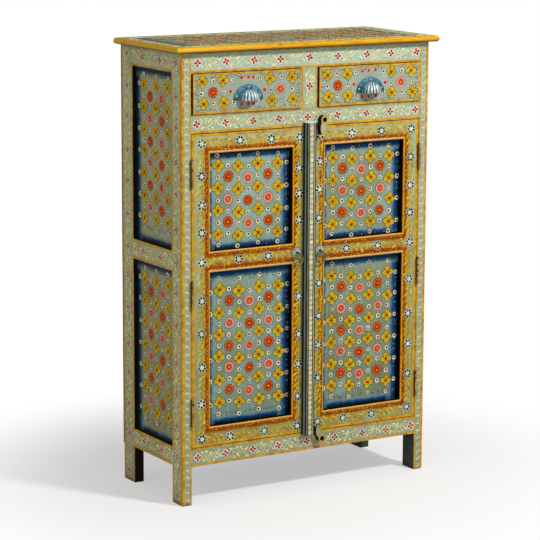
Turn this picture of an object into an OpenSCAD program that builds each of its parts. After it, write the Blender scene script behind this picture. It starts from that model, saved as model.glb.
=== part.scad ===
// Two-door cabinet with two drawers, flat-board side frames and painted panels.
// X runs across the front, -Y is the front, Z is up. All lengths are in millimetres.
// The lowest point is Z 0 and the middle of the whole outline is X 0, Y 0.

/* [Overall] */
// Height from the floor to the top face
overall_height = 1200; // [900:10:1500]
// Width over the two side frames
carcass_width = 756; // [600:2:1000]
// Depth of the side frames
carcass_depth = 328; // [280:2:500]
// Height of the underside above the floor
leg_clear = 103; // [60:1:160]

/* [Top board] */
// Thickness of the top board
top_thickness = 16; // [12:1:30]
// Overhang of the top board past the front
top_front_overhang = 20; // [5:1:40]
// Overhang of the top board past each side
top_side_overhang = 22; // [5:1:40]

/* [Side frames] */
// Thickness of the leg boards
leg_thickness = 27; // [20:1:40]
// Depth of a front leg board
front_leg_depth = 54; // [40:1:80]
// Depth of a rear leg board
rear_leg_depth = 60; // [40:1:80]
// Thickness of the side rails
side_rail_thickness = 22; // [16:1:30]
// Recess of the side panels behind the side frames
side_recess = 11; // [6:1:14]
// Underside of the upper side panel
side_upper_low = 671; // [400:1:900]
// Height of the side rail between the panels
side_mid_rail_height = 53; // [40:1:90]
// Height of the lowest side rail
side_bottom_rail_height = 51; // [40:1:90]

/* [Front frame] */
// Height of the rail under the top board
front_top_rail_height = 52.5; // [30:0.5:80]
// Height of the rail between drawers and doors
front_mid_rail_height = 47.5; // [30:0.5:80]
// Height of the rail under the doors
front_bottom_rail_height = 49; // [30:0.5:80]
// Height of the drawer openings
drawer_opening_height = 106; // [80:1:160]
// Thickness of the front rails
front_rail_thickness = 20; // [16:1:30]
// Width of the upright between the drawers
divider_width = 47; // [30:1:80]
// Middle of the upright between the drawers
divider_centre = 3; // [-20:1:20]

/* [Doors] */
// Thickness of the doors
door_thickness = 24; // [20:1:30]
// Place where the two doors meet
door_meeting = 2; // [-20:1:20]
// Width of the frame on the closing side of each door
closing_stile_width = 48.5; // [35:0.5:80]
// Width of the panel openings
door_panel_width = 248.5; // [150:0.5:400]
// Height of the top rail of a door
door_top_rail_height = 51; // [35:1:80]
// Height of the bottom rail of a door
door_bottom_rail_height = 51.5; // [35:0.5:80]
// Underside of the upper door panel
door_upper_low = 669.5; // [400:0.5:800]
// Height of the rail between the door panels
door_mid_rail_height = 54.5; // [35:0.5:80]
// Recess of the door panels
door_recess = 17; // [6:1:18]
// Clear gap at the hinge side of a door
door_gap = 1.5; // [1:0.5:4]
// Width of the cover strip where the doors meet
cover_strip_width = 32; // [20:1:50]
// How far the cover strip stands out
cover_strip_depth = 17.6; // [8:0.1:25]

/* [Drawers] */
// How far the drawer fronts stand out
drawer_proud = 4; // [0:0.5:8]
// Clear gap round a drawer front
drawer_gap = 2; // [1:0.5:4]
// Length of a drawer from its front face
drawer_length = 300; // [200:5:450]

/* [Hardware] */
// Width of a cup pull
pull_width = 87; // [60:1:130]
// Height of a cup pull
pull_height = 40; // [30:1:60]
// How far a cup pull stands out
pull_depth = 27; // [18:1:35]
// Number of flutes on a cup pull
pull_flutes = 9; // [5:2:15]
// Height of a hinge
hinge_height = 72; // [50:1:100]
// Outside diameter of a ring pull
ring_diameter = 33; // [24:1:50]
// Height of the middle of the ring plates
ring_plate_height = 644; // [300:1:900]
// Thickness of the turning catches
catch_thickness = 16; // [8:1:20]

/* [Hidden] */
$fn = 48;
eps = 0.01;
back_thickness = 5;
// y 0 is the face of the front frame in all modules; this moves the outline to its middle
front_y = (drawer_proud + pull_depth - carcass_depth - back_thickness) / 2;
half_w = carcass_width / 2;
inner = half_w - leg_thickness;
case_top = overall_height - top_thickness;
rear_leg_y = carcass_depth - rear_leg_depth;
drawer_top = case_top - front_top_rail_height;
drawer_low = drawer_top - drawer_opening_height;
door_open_top = drawer_low - front_mid_rail_height;
door_open_low = leg_clear + front_bottom_rail_height;
door_top = door_open_top - 2;
door_low = door_open_low + door_gap;
side_low = leg_clear - 3;
side_mid_low = side_upper_low - side_mid_rail_height;
door_mid_low = door_upper_low - door_mid_rail_height;
rail_inner = half_w - side_rail_thickness;
left_door_edge = door_meeting - 1.5;
right_door_edge = door_meeting + 1.5;
door_outer = inner - door_gap;
groove = 6;
tenon = 15;
divider_left = divider_centre - divider_width / 2;
divider_right = divider_centre + divider_width / 2;
hinge_x = inner - door_gap / 2;
hinge_y = -4.4;
hinge_levels = [door_low + 94.5, (door_low + door_top) / 2 - 3.2, door_top - 100];
ring_left_x = left_door_edge - closing_stile_width + 14;
ring_right_x = right_door_edge + closing_stile_width - 15;
ring_wire = 1.9;
ring_r = ring_diameter / 2 - ring_wire;
ring_eye_y = -9;
ring_eye_z = ring_plate_height - 2.5;
ring_plate_r = 15.5;
drawer_mid = (drawer_low + drawer_top) / 2;
pull_low = drawer_mid - 21;

paint = [0.62, 0.70, 0.64];
yellow = [0.86, 0.62, 0.12];
dark = [0.12, 0.18, 0.30];
bare = [0.55, 0.42, 0.27];
steel = [0.45, 0.45, 0.42];
blue = [0.25, 0.50, 0.62];

// Helpers

// moves the front face plane from y 0 to its place in the part's frame
module placed() translate([0, front_y, 0]) children();

// a box given by its two corners
module box(a, b) translate(a) cube([b[0] - a[0], b[1] - a[1], b[2] - a[2]]);

// the left-hand drawing, turned over for the right-hand side where s is 1
module sided(s) if (s < 0) children(); else mirror([1, 0, 0]) children();

// Top board: a full round nose on the front and both ends that meets in mitres
module nose_profile(len, both) {
  r = top_thickness / 2;
  translate([r, 0]) square([len - (both ? 2 : 1) * r, top_thickness]);
  translate([r, r]) circle(r);
  if (both) translate([len - r, r]) circle(r);
}

module top_board() color(paint) placed() {
  depth = carcass_depth + back_thickness + top_front_overhang;
  wide = carcass_width + 2 * top_side_overhang;
  translate([0, -top_front_overhang, case_top]) intersection() {
    translate([-wide / 2, depth, 0]) rotate([90, 0, 0]) linear_extrude(depth)
      nose_profile(wide, true);
    translate([-wide / 2, 0, 0]) rotate([90, 0, 90]) linear_extrude(wide)
      nose_profile(depth, false);
  }
}

// Side frames. All are drawn on the left.
module side_tenons(grow) {
  for (r = [[side_low, side_bottom_rail_height], [side_mid_low, side_mid_rail_height],
            [drawer_top, case_top - drawer_top]])
    box([-half_w + 7, front_leg_depth - 20 - grow, r[0] + 10],
        [-half_w + 15, rear_leg_y + 20 + grow, r[0] + r[1] - 10]);
}

module side_panel_solids(grow) {
  for (z = [[side_low + side_bottom_rail_height, side_mid_low], [side_upper_low, drawer_top]])
    box([-half_w + side_recess, front_leg_depth - groove + 0.5 - grow, z[0] - groove + 0.5 - grow],
        [-half_w + side_recess + 5, rear_leg_y + groove - 0.5 + grow, z[1] + groove - 0.5 + grow]);
}

// the tenons of the front and rear rails in the left legs
module cross_tenons() {
  for (r = [[leg_clear, front_bottom_rail_height], [door_open_top, front_mid_rail_height],
            [drawer_top, case_top - drawer_top]])
    box([-inner - tenon, 6, r[0] + 8], [-inner + eps, 14, r[0] + r[1] - 8]);
  for (r = rear_levels)
    box([-inner - tenon, carcass_depth - 14, r[0] + 8],
        [-inner + eps, carcass_depth - 6, r[1] - 8]);
}
rear_levels = [[side_low, side_low + 50], [drawer_low - 40, drawer_low], [case_top - 50, case_top]];

module leg(front) {
  y0 = front ? 0 : rear_leg_y;
  y1 = front ? front_leg_depth : carcass_depth;
  difference() {
    box([-half_w, y0, 0], [-inner, y1, case_top]);
    side_tenons(0);
    side_panel_solids(0.5);
    cross_tenons();
    if (front) for (z = hinge_levels)
      box([-inner - 1, -1, z - hinge_height / 2], [-inner + 1, 20, z + hinge_height / 2]);
  }
}

module side_rail(z0, h) difference() {
  union() {
    box([-half_w, front_leg_depth, z0], [-rail_inner, rear_leg_y, z0 + h]);
    box([-half_w + 7, front_leg_depth - 20, z0 + 10], [-half_w + 15, rear_leg_y + 20, z0 + h - 10]);
  }
  side_panel_solids(0.5);
  box([-rail_inner - 6, front_leg_depth + 6, door_open_low - 12],
      [-rail_inner + 1, rear_leg_y - 6, door_open_low]);
}

module leg_front_left() color(paint) placed() leg(true);
module leg_rear_left() color(paint) placed() leg(false);
module leg_front_right() color(paint) placed() sided(1) leg(true);
module leg_rear_right() color(paint) placed() sided(1) leg(false);
module left_side_top_rail() color(paint) placed() side_rail(drawer_top, case_top - drawer_top);
module left_side_mid_rail() color(paint) placed() side_rail(side_mid_low, side_mid_rail_height);
module left_side_bottom_rail() color(paint) placed() side_rail(side_low, side_bottom_rail_height);
module right_side_top_rail() color(paint) placed() sided(1)
  side_rail(drawer_top, case_top - drawer_top);
module right_side_mid_rail() color(paint) placed() sided(1)
  side_rail(side_mid_low, side_mid_rail_height);
module right_side_bottom_rail() color(paint) placed() sided(1)
  side_rail(side_low, side_bottom_rail_height);
module left_side_panels() color(dark) placed() side_panel_solids(0);
module right_side_panels() color(dark) placed() sided(1) side_panel_solids(0);

// Front frame: three rails and the upright between the drawers
module divider_tenons() box([divider_centre - 15, 6, drawer_low - 10],
                            [divider_centre + 15, 14, drawer_top + 10]);

module front_rail(z0, h) {
  difference() {
    box([-inner, 0, z0], [inner, front_rail_thickness, z0 + h]);
    divider_tenons();
  }
  for (s = [-1, 1]) sided(s) box([-inner - tenon, 6, z0 + 8], [-inner + 5, 14, z0 + h - 8]);
}

module front_top_rail() color(paint) placed() front_rail(drawer_top, case_top - drawer_top);
module front_mid_rail() color(paint) placed() front_rail(door_open_top, front_mid_rail_height);
module front_bottom_rail() color(paint) placed() front_rail(leg_clear, front_bottom_rail_height);
module drawer_divider() color(paint) placed() {
  box([divider_left, 0, drawer_low], [divider_right, front_rail_thickness, drawer_top]);
  divider_tenons();
}

// Back and inside
module back_panel() color(bare) placed()
  box([-half_w, carcass_depth, side_low - 2], [half_w, carcass_depth + back_thickness, case_top]);

module rear_rails() color(bare) placed() for (r = rear_levels) {
  box([-inner, carcass_depth - 20, r[0]], [inner, carcass_depth, r[1]]);
  for (s = [-1, 1]) sided(s)
    box([-inner - tenon, carcass_depth - 14, r[0] + 8], [-inner + 5, carcass_depth - 6, r[1] - 8]);
}

module bottom_board() color(bare) placed() {
  box([-inner, front_rail_thickness, door_open_low - 12], [inner, carcass_depth - 20, door_open_low]);
  box([-rail_inner - 5.5, front_leg_depth + 6.5, door_open_low - 12],
      [rail_inner + 5.5, rear_leg_y - 6.5, door_open_low]);
}

shelf_z = 560;
module shelf() color(bare) placed()
  box([-inner + 0.5, 34, shelf_z], [inner - 0.5, carcass_depth - 0.5, shelf_z + 16]);
module shelf_cleats() color(bare) placed() for (s = [-1, 1]) sided(s)
  box([-inner, 34, shelf_z - 22], [-inner + 16, carcass_depth, shelf_z]);

module drawer_guides() color(bare) placed() {
  y0 = front_rail_thickness;
  y1 = carcass_depth - 20;
  for (s = [-1, 1]) sided(s) {
    box([-inner, y0, drawer_low - 20], [-inner + 20, y1, drawer_low]);
    box([-inner, y0, drawer_top], [-inner + 20, y1, drawer_top + 20]);
  }
  box([divider_left - 15, y0, drawer_low - 20], [divider_right + 15, y1, drawer_low]);
  box([divider_left, y0, drawer_low - eps], [divider_right, y1, drawer_low + 20]);
  box([divider_left - 15, y0, drawer_top], [divider_right + 15, y1, drawer_top + 20]);
}

// Hinges: five knuckles on a pin; the frame leaf has three and the door leaf two
knuckle = hinge_height / 5;
module knuckle_at(k, bore) difference() {
  translate([-hinge_x, hinge_y, k * knuckle - hinge_height / 2 + 0.15])
    cylinder(r = 4, h = knuckle - 0.3);
  translate([-hinge_x, hinge_y, k * knuckle - hinge_height / 2 - 1])
    cylinder(r = bore, h = knuckle + 2);
}

// which: 0 for the frame leaf, 1 for the door leaf
module hinge_leaf(which) {
  x0 = which == 0 ? -inner - 1 : -door_outer - 0.4;
  x1 = which == 0 ? -inner + 0.4 : -door_outer + 1;
  difference() {
    box([x0, 0.2, -hinge_height / 2], [x1, 20, hinge_height / 2]);
    for (z = [-26, 0, 26]) translate([x0 - 1, z == 0 ? 7 : 13, z]) rotate([0, 90, 0])
      cylinder(r = 2, h = 4);
  }
  for (k = which == 0 ? [0, 2, 4] : [1, 3]) {
    knuckle_at(k, which == 0 ? 2 : 2.06);
    difference() {
      box([x0, hinge_y, k * knuckle - hinge_height / 2 + 0.15],
          [x1, 0.5, (k + 1) * knuckle - hinge_height / 2 - 0.15]);
      translate([-hinge_x, hinge_y, k * knuckle - hinge_height / 2 - 1])
        cylinder(r = 3, h = knuckle + 2);
    }
  }
}

module hinge_leaves(which) for (z = hinge_levels) translate([0, 0, z]) hinge_leaf(which);

module frame_hinge_leaves() color(steel) placed() for (s = [-1, 1]) sided(s) hinge_leaves(0);
module left_door_hinge_leaves() color(steel) placed() hinge_leaves(1);
module right_door_hinge_leaves() color(steel) placed() sided(1) hinge_leaves(1);
module hinge_pins() color(steel) placed() for (s = [-1, 1], z = hinge_levels) sided(s)
  translate([-hinge_x, hinge_y, z - hinge_height / 2 - 1.5]) {
    cylinder(r = 2, h = hinge_height + 3);
    translate([0, 0, hinge_height + 1.5 + eps]) cylinder(r1 = 3.6, r2 = 2.4, h = 2);
    translate([0, 0, -0.5]) cylinder(r1 = 2.4, r2 = 3.6, h = 2 - eps);
  }

// Doors. x0 and x1 are the edges, p0 and p1 the sides of the panel openings.
door_z = [door_low, door_low + door_bottom_rail_height, door_mid_low, door_upper_low,
          door_top - door_top_rail_height, door_top];
left_p = [left_door_edge - closing_stile_width - door_panel_width,
          left_door_edge - closing_stile_width];
right_p = [right_door_edge + closing_stile_width,
           right_door_edge + closing_stile_width + door_panel_width];

module door_panel_solids(p, grow) for (z = [[door_z[1], door_z[2]], [door_z[3], door_z[4]]])
  box([p[0] - groove + 0.5 - grow, door_recess, z[0] - groove + 0.5 - grow],
      [p[1] + groove - 0.5 + grow, door_recess + 5, z[1] + groove - 0.5 + grow]);

module door_tenons(p) for (z = [[door_z[0], door_z[1]], [door_z[2], door_z[3]], [door_z[4], door_z[5]]])
  box([p[0] - 25, 5, z[0] + 12], [p[1] + 25, 13, z[1] - 12]);

module door_stile(x0, x1, p) difference() {
  box([x0, 0, door_low], [x1, door_thickness, door_top]);
  door_tenons(p);
  door_panel_solids(p, 0.5);
  for (z = hinge_levels, s = [-1, 1]) sided(s)
    box([-door_outer - 1, -1, z - hinge_height / 2], [-door_outer + 1, 20, z + hinge_height / 2]);
}

module door_rail(p, z0, z1) difference() {
  union() {
    box([p[0], 0, z0], [p[1], door_thickness, z1]);
    box([p[0] - 25, 5, z0 + 12], [p[1] + 25, 13, z1 - 12]);
  }
  door_panel_solids(p, 0.5);
  catch_dowels(0);
}

// one bar of a half-round bead along X, with its ends cut to mitres
bead_w = 5.5;
module bead_bar(len) intersection() {
  translate([-len / 2 - bead_w, 0.9, -bead_w / 2]) rotate([0, 90, 0])
    cylinder(r = 2.9, h = len + 2 * bead_w);
  translate([0, 0, 0]) rotate([90, 0, 0]) linear_extrude(2.5)
    polygon([[-len / 2, 0], [len / 2, 0], [len / 2 + bead_w, -bead_w], [-len / 2 - bead_w, -bead_w]]);
}

module bead_frame(p, z0, z1) {
  w = p[1] - p[0];
  h = z1 - z0;
  translate([(p[0] + p[1]) / 2, 0, (z0 + z1) / 2]) {
    translate([0, 0, -h / 2]) bead_bar(w);
    rotate([0, 180, 0]) translate([0, 0, -h / 2]) bead_bar(w);
    rotate([0, 90, 0]) translate([0, 0, -w / 2]) bead_bar(h);
    rotate([0, -90, 0]) translate([0, 0, -w / 2]) bead_bar(h);
  }
}

module door_beads(p) {
  bead_frame(p, door_z[1], door_z[2]);
  bead_frame(p, door_z[3], door_z[4]);
}

module left_door_hinge_stile() color(paint) placed() door_stile(-door_outer, left_p[0], left_p);
module left_door_closing_stile() color(paint) placed() door_stile(left_p[1], left_door_edge, left_p);
module left_door_top_rail() color(paint) placed() door_rail(left_p, door_z[4], door_z[5]);
module left_door_mid_rail() color(paint) placed() door_rail(left_p, door_z[2], door_z[3]);
module left_door_bottom_rail() color(paint) placed() door_rail(left_p, door_z[0], door_z[1]);
module left_door_panels() color(dark) placed() door_panel_solids(left_p, 0);
module left_door_beads() color(yellow) placed() door_beads(left_p);
module right_door_hinge_stile() color(paint) placed() door_stile(right_p[1], door_outer, right_p);
module right_door_closing_stile() color(paint) placed() difference() {
  door_stile(right_door_edge, right_p[0], right_p);
  catch_dowels(0);
}
module right_door_top_rail() color(paint) placed() door_rail(right_p, door_z[4], door_z[5]);
module right_door_mid_rail() color(paint) placed() door_rail(right_p, door_z[2], door_z[3]);
module right_door_bottom_rail() color(paint) placed() door_rail(right_p, door_z[0], door_z[1]);
module right_door_panels() color(dark) placed() door_panel_solids(right_p, 0);
module right_door_beads() color(yellow) placed() door_beads(right_p);

// Cover strip: a stepped moulding with a round reed on each flank and two quirks on its face
strip_low = door_open_low - 5;
strip_high = door_open_top + 12;
module strip_profile() {
  w = cover_strip_width / 2;
  d = cover_strip_depth;
  difference() {
    union() {
      translate([-w, 0]) square([2 * w, 4]);
      translate([-w + 3.4, 3]) square([2 * w - 6.8, d - 7]);
      translate([-w + 2.6, d - 4.6]) square([2 * w - 5.2, 4.6]);
      for (s = [-1, 1]) translate([s * (w - 4.1), 8.4]) circle(2.9);
    }
    for (s = [-1, 1]) translate([s * 7, d + 0.4]) circle(1.7);
  }
}

module cover_strip() color(paint) placed() {
  translate([0, -0.5, strip_low]) linear_extrude(strip_high - strip_low) mirror([0, 1])
    strip_profile();
  box([-cover_strip_width / 2 + 2, -0.6, door_low + 2], [left_door_edge - 1, 0, door_top - 2]);
}

// Ring pulls: a domed plate with a raised centre and an eye, and a ring that hangs in the eye
module ring_plate() {
  difference() {
    union() {
      rotate([90, 0, 0]) cylinder(r = ring_plate_r, h = 1.6);
      intersection() {
        translate([0, 21.4, 0]) sphere(r = 25.4);
        rotate([90, 0, 0]) cylinder(r = ring_plate_r - 1.5, h = 20);
      }
      translate([0, -3, 0]) sphere(r = 3.8);
    }
    translate([-20, 0, -20]) cube([40, 40, 40]);
  }
}

module ring_staple() {
  translate([0, ring_eye_y, ring_eye_z - ring_plate_height]) rotate([0, 90, 0])
    rotate_extrude() translate([4, 0]) circle(1.3);
}

module ring_unit(x) translate([x, 0, ring_plate_height]) {
  ring_plate();
  ring_staple();
}

module ring_body(x) translate([x, ring_eye_y, ring_eye_z - ring_r]) rotate([90, 0, 0])
  rotate_extrude() translate([ring_r, 0]) circle(ring_wire);

module left_ring_plate() color(steel) placed() ring_unit(ring_left_x);
module right_ring_plate() color(steel) placed() ring_unit(ring_right_x);
module left_ring() color(steel) placed() ring_body(ring_left_x);
module right_ring() color(steel) placed() ring_body(ring_right_x);

// Turning catches: a leaf with an open eye, on a blind dowel in the right door
catch_eye_r = 10.7;
catch_hole_r = 6.2;
catch_half_width = 9.7;
catch_tail = 8.5;
top_pivot = [34.5, door_top - 14];
top_eye = [40.2, door_open_top + 16];
bottom_pivot = [26.3, door_low + 6.5];
bottom_eye = [39.8, door_open_low - 18.5];

// the leaf is drawn with its pivot at 0 and its eye straight up, then turned
module leaf_profile(p, e) {
  len = norm(e - p);
  edge = [for (k = [0:14]) let (u = k / 14)
    [catch_half_width * pow(sin(min(90, u * 140)), 0.8) * (1 - 0.4 * max(0, u - 0.6)),
     u * (0.8 * len + catch_tail) - catch_tail]];
  translate(p) rotate(-atan2(e[0] - p[0], e[1] - p[1])) difference() {
    union() {
      translate([0, len]) circle(catch_eye_r);
      polygon(concat(edge, [for (k = [14:-1:1]) [-edge[k][0], edge[k][1]]]));
    }
    translate([0, len]) circle(catch_hole_r);
  }
}

module catch_dowels(grow) for (p = [top_pivot, bottom_pivot])
  translate([p[0], 10, p[1]]) rotate([90, 0, 0]) cylinder(r = 3 + grow, h = 22 + grow * 4);

module catch(p, e) difference() {
  translate([0, -0.8, 0]) rotate([90, 0, 0]) linear_extrude(catch_thickness) leaf_profile(p, e);
  catch_dowels(0.06);
}

module top_catch() color(yellow) placed() catch(top_pivot, top_eye);
module bottom_catch() color(yellow) placed() catch(bottom_pivot, bottom_eye);
module catch_pivots() color(steel) placed() catch_dowels(0);

// Drawers, given by the sides of their openings
module drawer_front(a, b) difference() {
  box([a + drawer_gap, -drawer_proud, drawer_low + 1.5],
      [b - drawer_gap, 18 - drawer_proud, drawer_top - 1.5]);
  drawer_sides(a, b);
  drawer_bottom(a, b, 0.3);
}

module drawer_sides(a, b) for (x = [a + 4, b - 16])
  box([x, 6, drawer_low + 0.4], [x + 12, drawer_length - drawer_proud, drawer_top - 6]);

module drawer_bottom(a, b, grow)
  box([a + 10 - grow, 8 - grow, drawer_low + 9 - grow],
      [b - 10 + grow, drawer_length - drawer_proud, drawer_low + 13 + grow]);

module drawer_box(a, b) difference() {
  union() {
    drawer_sides(a, b);
    box([a + 16, drawer_length - drawer_proud - 12, drawer_low + 13.3],
        [b - 16, drawer_length - drawer_proud, drawer_top - 10]);
  }
  drawer_bottom(a, b, 0.3);
}

// Cup pull: a fluted half dome over a half-round flange. i runs round, j from the tip to the lip.
cup_a = 31;
cup_h = 27.5;
cup_d = pull_depth - 2.5;
cup_n = pull_flutes * 6;
cup_m = 9;
function lobe(i) = pow(abs(sin(180 * i / 6)), 0.7);
function cup_pt(i, j, a, b, c, amp) =
  let (f = 180 * i / cup_n, t = 90 * j / cup_m, k = 1 + amp * (lobe(i) - 1) * pow(sin(t), 0.8))
  [a * cos(f) * sin(t) * k, -b * sin(f) * sin(t) * k, c * cos(t)];
function cup_grid(a, b, c, amp) = concat([[0, 0, c]],
  [for (j = [1:cup_m], i = [0:cup_n]) cup_pt(i, j, a, b, c, amp)]);
function at(i, j) = j == 0 ? 0 : 1 + (j - 1) * (cup_n + 1) + i;

module cup_shell() {
  outer_pts = cup_grid(cup_a, cup_d, cup_h, 0.13);
  inner_pts = cup_grid(cup_a - 6, cup_d - 5.2, cup_h - 2.4, 0);
  n = len(outer_pts);
  skin = concat(
    [for (i = [0:cup_n - 1]) [at(i, 0), at(i, 1), at(i + 1, 1)]],
    [for (j = [1:cup_m - 1], i = [0:cup_n - 1]) each
      [[at(i, j), at(i, j + 1), at(i + 1, j + 1)], [at(i, j), at(i + 1, j + 1), at(i + 1, j)]]]);
  lining = [for (t = skin) [t[0] + n, t[2] + n, t[1] + n]];
  lip = [for (i = [0:cup_n - 1]) each
    [[at(i, cup_m), n + at(i, cup_m), n + at(i + 1, cup_m)],
     [at(i, cup_m), n + at(i + 1, cup_m), at(i + 1, cup_m)]]];
  wall = [for (j = [0:cup_m - 1]) each
    concat(j == 0 ? [[0, n, n + at(0, 1)], [0, n + at(0, 1), at(0, 1)],
                     [0, n + at(cup_n, 1), n], [0, at(cup_n, 1), n + at(cup_n, 1)]] :
      [[at(0, j), n + at(0, j), n + at(0, j + 1)], [at(0, j), n + at(0, j + 1), at(0, j + 1)],
       [at(cup_n, j), n + at(cup_n, j + 1), n + at(cup_n, j)],
       [at(cup_n, j), at(cup_n, j + 1), n + at(cup_n, j + 1)]])];
  polyhedron(concat(outer_pts, inner_pts), concat(skin, lining, lip, wall), convexity = 6);
}

// the three fixing places on the flange: top, left and right
screw_spots = [[0, 33.2], [-35.5, 9.5], [35.5, 9.5]];

module half_oval(a, c) intersection() {
  scale([1, c / a]) circle(a, $fn = 96);
  translate([-a - 1, 0]) square([2 * a + 2, c + 2]);
}

module pull_flange() difference() {
  rotate([90, 0, 0]) linear_extrude(2.5) half_oval(pull_width / 2, pull_height);
  rotate([90, 0, 0]) translate([0, -1, -1]) linear_extrude(5) half_oval(cup_a - 6, cup_h - 1.4);
  for (s = screw_spots) translate([s[0], -1.1, s[1]]) rotate([90, 0, 0]) cylinder(r = 3.2, h = 2);
}

module drawer_pull(a, b) translate([(a + b) / 2, -drawer_proud, pull_low]) {
  pull_flange();
  translate([0, -2.5, 0]) cup_shell();
}

module pull_screws(a, b) translate([(a + b) / 2, -drawer_proud, pull_low])
  for (s = screw_spots) translate([s[0], -1.1, s[1]]) difference() {
    intersection() {
      rotate([90, 0, 0]) cylinder(r = 3.1, h = 4);
      translate([0, 2.9, 0]) sphere(r = 5.2);
    }
    translate([-4, -3, -0.4]) cube([8, 1.2, 0.8]);
  }

module left_drawer_front() color(paint) placed() drawer_front(-inner, divider_left);
module left_drawer_box() color(bare) placed() drawer_box(-inner, divider_left);
module left_drawer_bottom() color(bare) placed() drawer_bottom(-inner, divider_left, 0);
module left_drawer_pull() color(blue) placed() drawer_pull(-inner, divider_left);
module left_pull_screws() color(steel) placed() pull_screws(-inner, divider_left);
module right_drawer_front() color(paint) placed() drawer_front(divider_right, inner);
module right_drawer_box() color(bare) placed() drawer_box(divider_right, inner);
module right_drawer_bottom() color(bare) placed() drawer_bottom(divider_right, inner, 0);
module right_drawer_pull() color(blue) placed() drawer_pull(divider_right, inner);
module right_pull_screws() color(steel) placed() pull_screws(divider_right, inner);

top_board();
leg_front_left();
leg_front_right();
leg_rear_left();
leg_rear_right();
left_side_top_rail();
left_side_mid_rail();
left_side_bottom_rail();
right_side_top_rail();
right_side_mid_rail();
right_side_bottom_rail();
left_side_panels();
right_side_panels();
front_top_rail();
front_mid_rail();
front_bottom_rail();
drawer_divider();
back_panel();
rear_rails();
bottom_board();
shelf();
shelf_cleats();
drawer_guides();
frame_hinge_leaves();
hinge_pins();
left_door_hinge_stile();
left_door_closing_stile();
left_door_top_rail();
left_door_mid_rail();
left_door_bottom_rail();
left_door_panels();
left_door_beads();
left_door_hinge_leaves();
left_ring_plate();
left_ring();
cover_strip();
right_door_hinge_stile();
right_door_closing_stile();
right_door_top_rail();
right_door_mid_rail();
right_door_bottom_rail();
right_door_panels();
right_door_beads();
right_door_hinge_leaves();
right_ring_plate();
right_ring();
top_catch();
bottom_catch();
catch_pivots();
left_drawer_front();
left_drawer_box();
left_drawer_bottom();
left_drawer_pull();
left_pull_screws();
right_drawer_front();
right_drawer_box();
right_drawer_bottom();
right_drawer_pull();
right_pull_screws();
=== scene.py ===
"""Painted two-door cabinet: finishes and hand-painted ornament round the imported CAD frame."""
import math
import random

import bpy
from mathutils import Matrix, Vector


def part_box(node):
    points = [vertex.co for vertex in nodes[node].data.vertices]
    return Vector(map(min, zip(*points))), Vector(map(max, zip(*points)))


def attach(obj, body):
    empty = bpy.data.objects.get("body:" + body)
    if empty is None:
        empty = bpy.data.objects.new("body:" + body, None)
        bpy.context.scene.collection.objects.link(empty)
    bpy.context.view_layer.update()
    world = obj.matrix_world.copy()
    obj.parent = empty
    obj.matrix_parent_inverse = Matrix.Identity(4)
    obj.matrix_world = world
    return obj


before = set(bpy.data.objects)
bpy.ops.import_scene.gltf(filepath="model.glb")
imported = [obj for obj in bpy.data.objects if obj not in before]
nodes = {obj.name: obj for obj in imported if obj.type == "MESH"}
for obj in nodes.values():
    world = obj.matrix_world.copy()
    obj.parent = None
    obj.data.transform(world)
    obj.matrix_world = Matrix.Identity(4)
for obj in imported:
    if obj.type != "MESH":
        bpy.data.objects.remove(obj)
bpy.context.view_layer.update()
bpy.context.scene.view_settings.view_transform = "Standard"
MM = 0.001
SIDES = ("left", "right")


# Camera, lamps, surround

# name, place, target, side of the lit square, watts
LAMPS = (
    ("Key", (1.12, -2.55, 3.4), (-0.05, -0.15, 0.85), 0.42, 126.0),
    ("Front", (-0.9, -4.4, 1.9), (0.0, 0.0, 0.7), 2.4, 8.0),
    ("Fill", (-3.6, -0.9, 1.9), (-0.2, 0.0, 0.7), 2.4, 24.0),
)
SURROUND_LEVEL = 0.26
WHITE = (1.0, 1.0, 1.0, 1.0)
WARM_WHITE = (1.0, 0.99, 0.975, 1.0)


def make_camera():
    """The photograph's viewpoint, found by fitting the cabinet's corners; no lens shift."""
    place = (-3.1819, -5.2556, 1.7180)
    yaw, pitch, roll = (math.radians(a) for a in (30.995, 10.585, 0.253))
    focal_pixels, frame_pixels, sensor = 2310.9, 540.0, 36.0
    forward = Vector((math.sin(yaw) * math.cos(pitch), math.cos(yaw) * math.cos(pitch), -math.sin(pitch)))
    level = Vector((math.cos(yaw), -math.sin(yaw), 0.0))
    upright = level.cross(forward)
    right = math.cos(roll) * level + math.sin(roll) * upright
    up = -math.sin(roll) * level + math.cos(roll) * upright
    data = bpy.data.cameras.new("Camera")
    data.sensor_width = sensor
    data.sensor_fit = "HORIZONTAL"
    data.lens = focal_pixels / frame_pixels * sensor
    data.clip_end = 100.0
    cam = bpy.data.objects.new("Camera", data)
    turn = Matrix((right, up, -forward)).transposed().to_4x4()
    cam.matrix_world = Matrix.Translation(place) @ turn
    bpy.context.scene.collection.objects.link(cam)
    bpy.context.scene.camera = cam


def add_light(name, place, target, size, power):
    data = bpy.data.lights.new(name, "AREA")
    data.shape = "SQUARE"
    data.size = size
    data.energy = power
    lamp = bpy.data.objects.new(name, data)
    lamp.location = place
    lamp.rotation_euler = (Vector(target) - Vector(place)).to_track_quat("-Z", "Y").to_euler()
    bpy.context.scene.collection.objects.link(lamp)


def seen_directly(tree):
    """1 for camera rays and for what mirrors and glass show, 0 for the light that falls on things."""
    rays = tree.nodes.new("ShaderNodeLightPath")
    found = rays.outputs["Is Camera Ray"]
    for kind in ("Is Glossy Ray", "Is Transmission Ray"):
        either = tree.nodes.new("ShaderNodeMath")
        either.operation = "MAXIMUM"
        tree.links.new(found, either.inputs[0])
        tree.links.new(rays.outputs[kind], either.inputs[1])
        found = either.outputs[0]
    return found


def shining(tree, kind, colour, strength):
    """A background or emission of one colour."""
    node = tree.nodes.new(kind)
    node.inputs["Color"].default_value = colour
    node.inputs["Strength"].default_value = strength
    return node.outputs[0]


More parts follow.
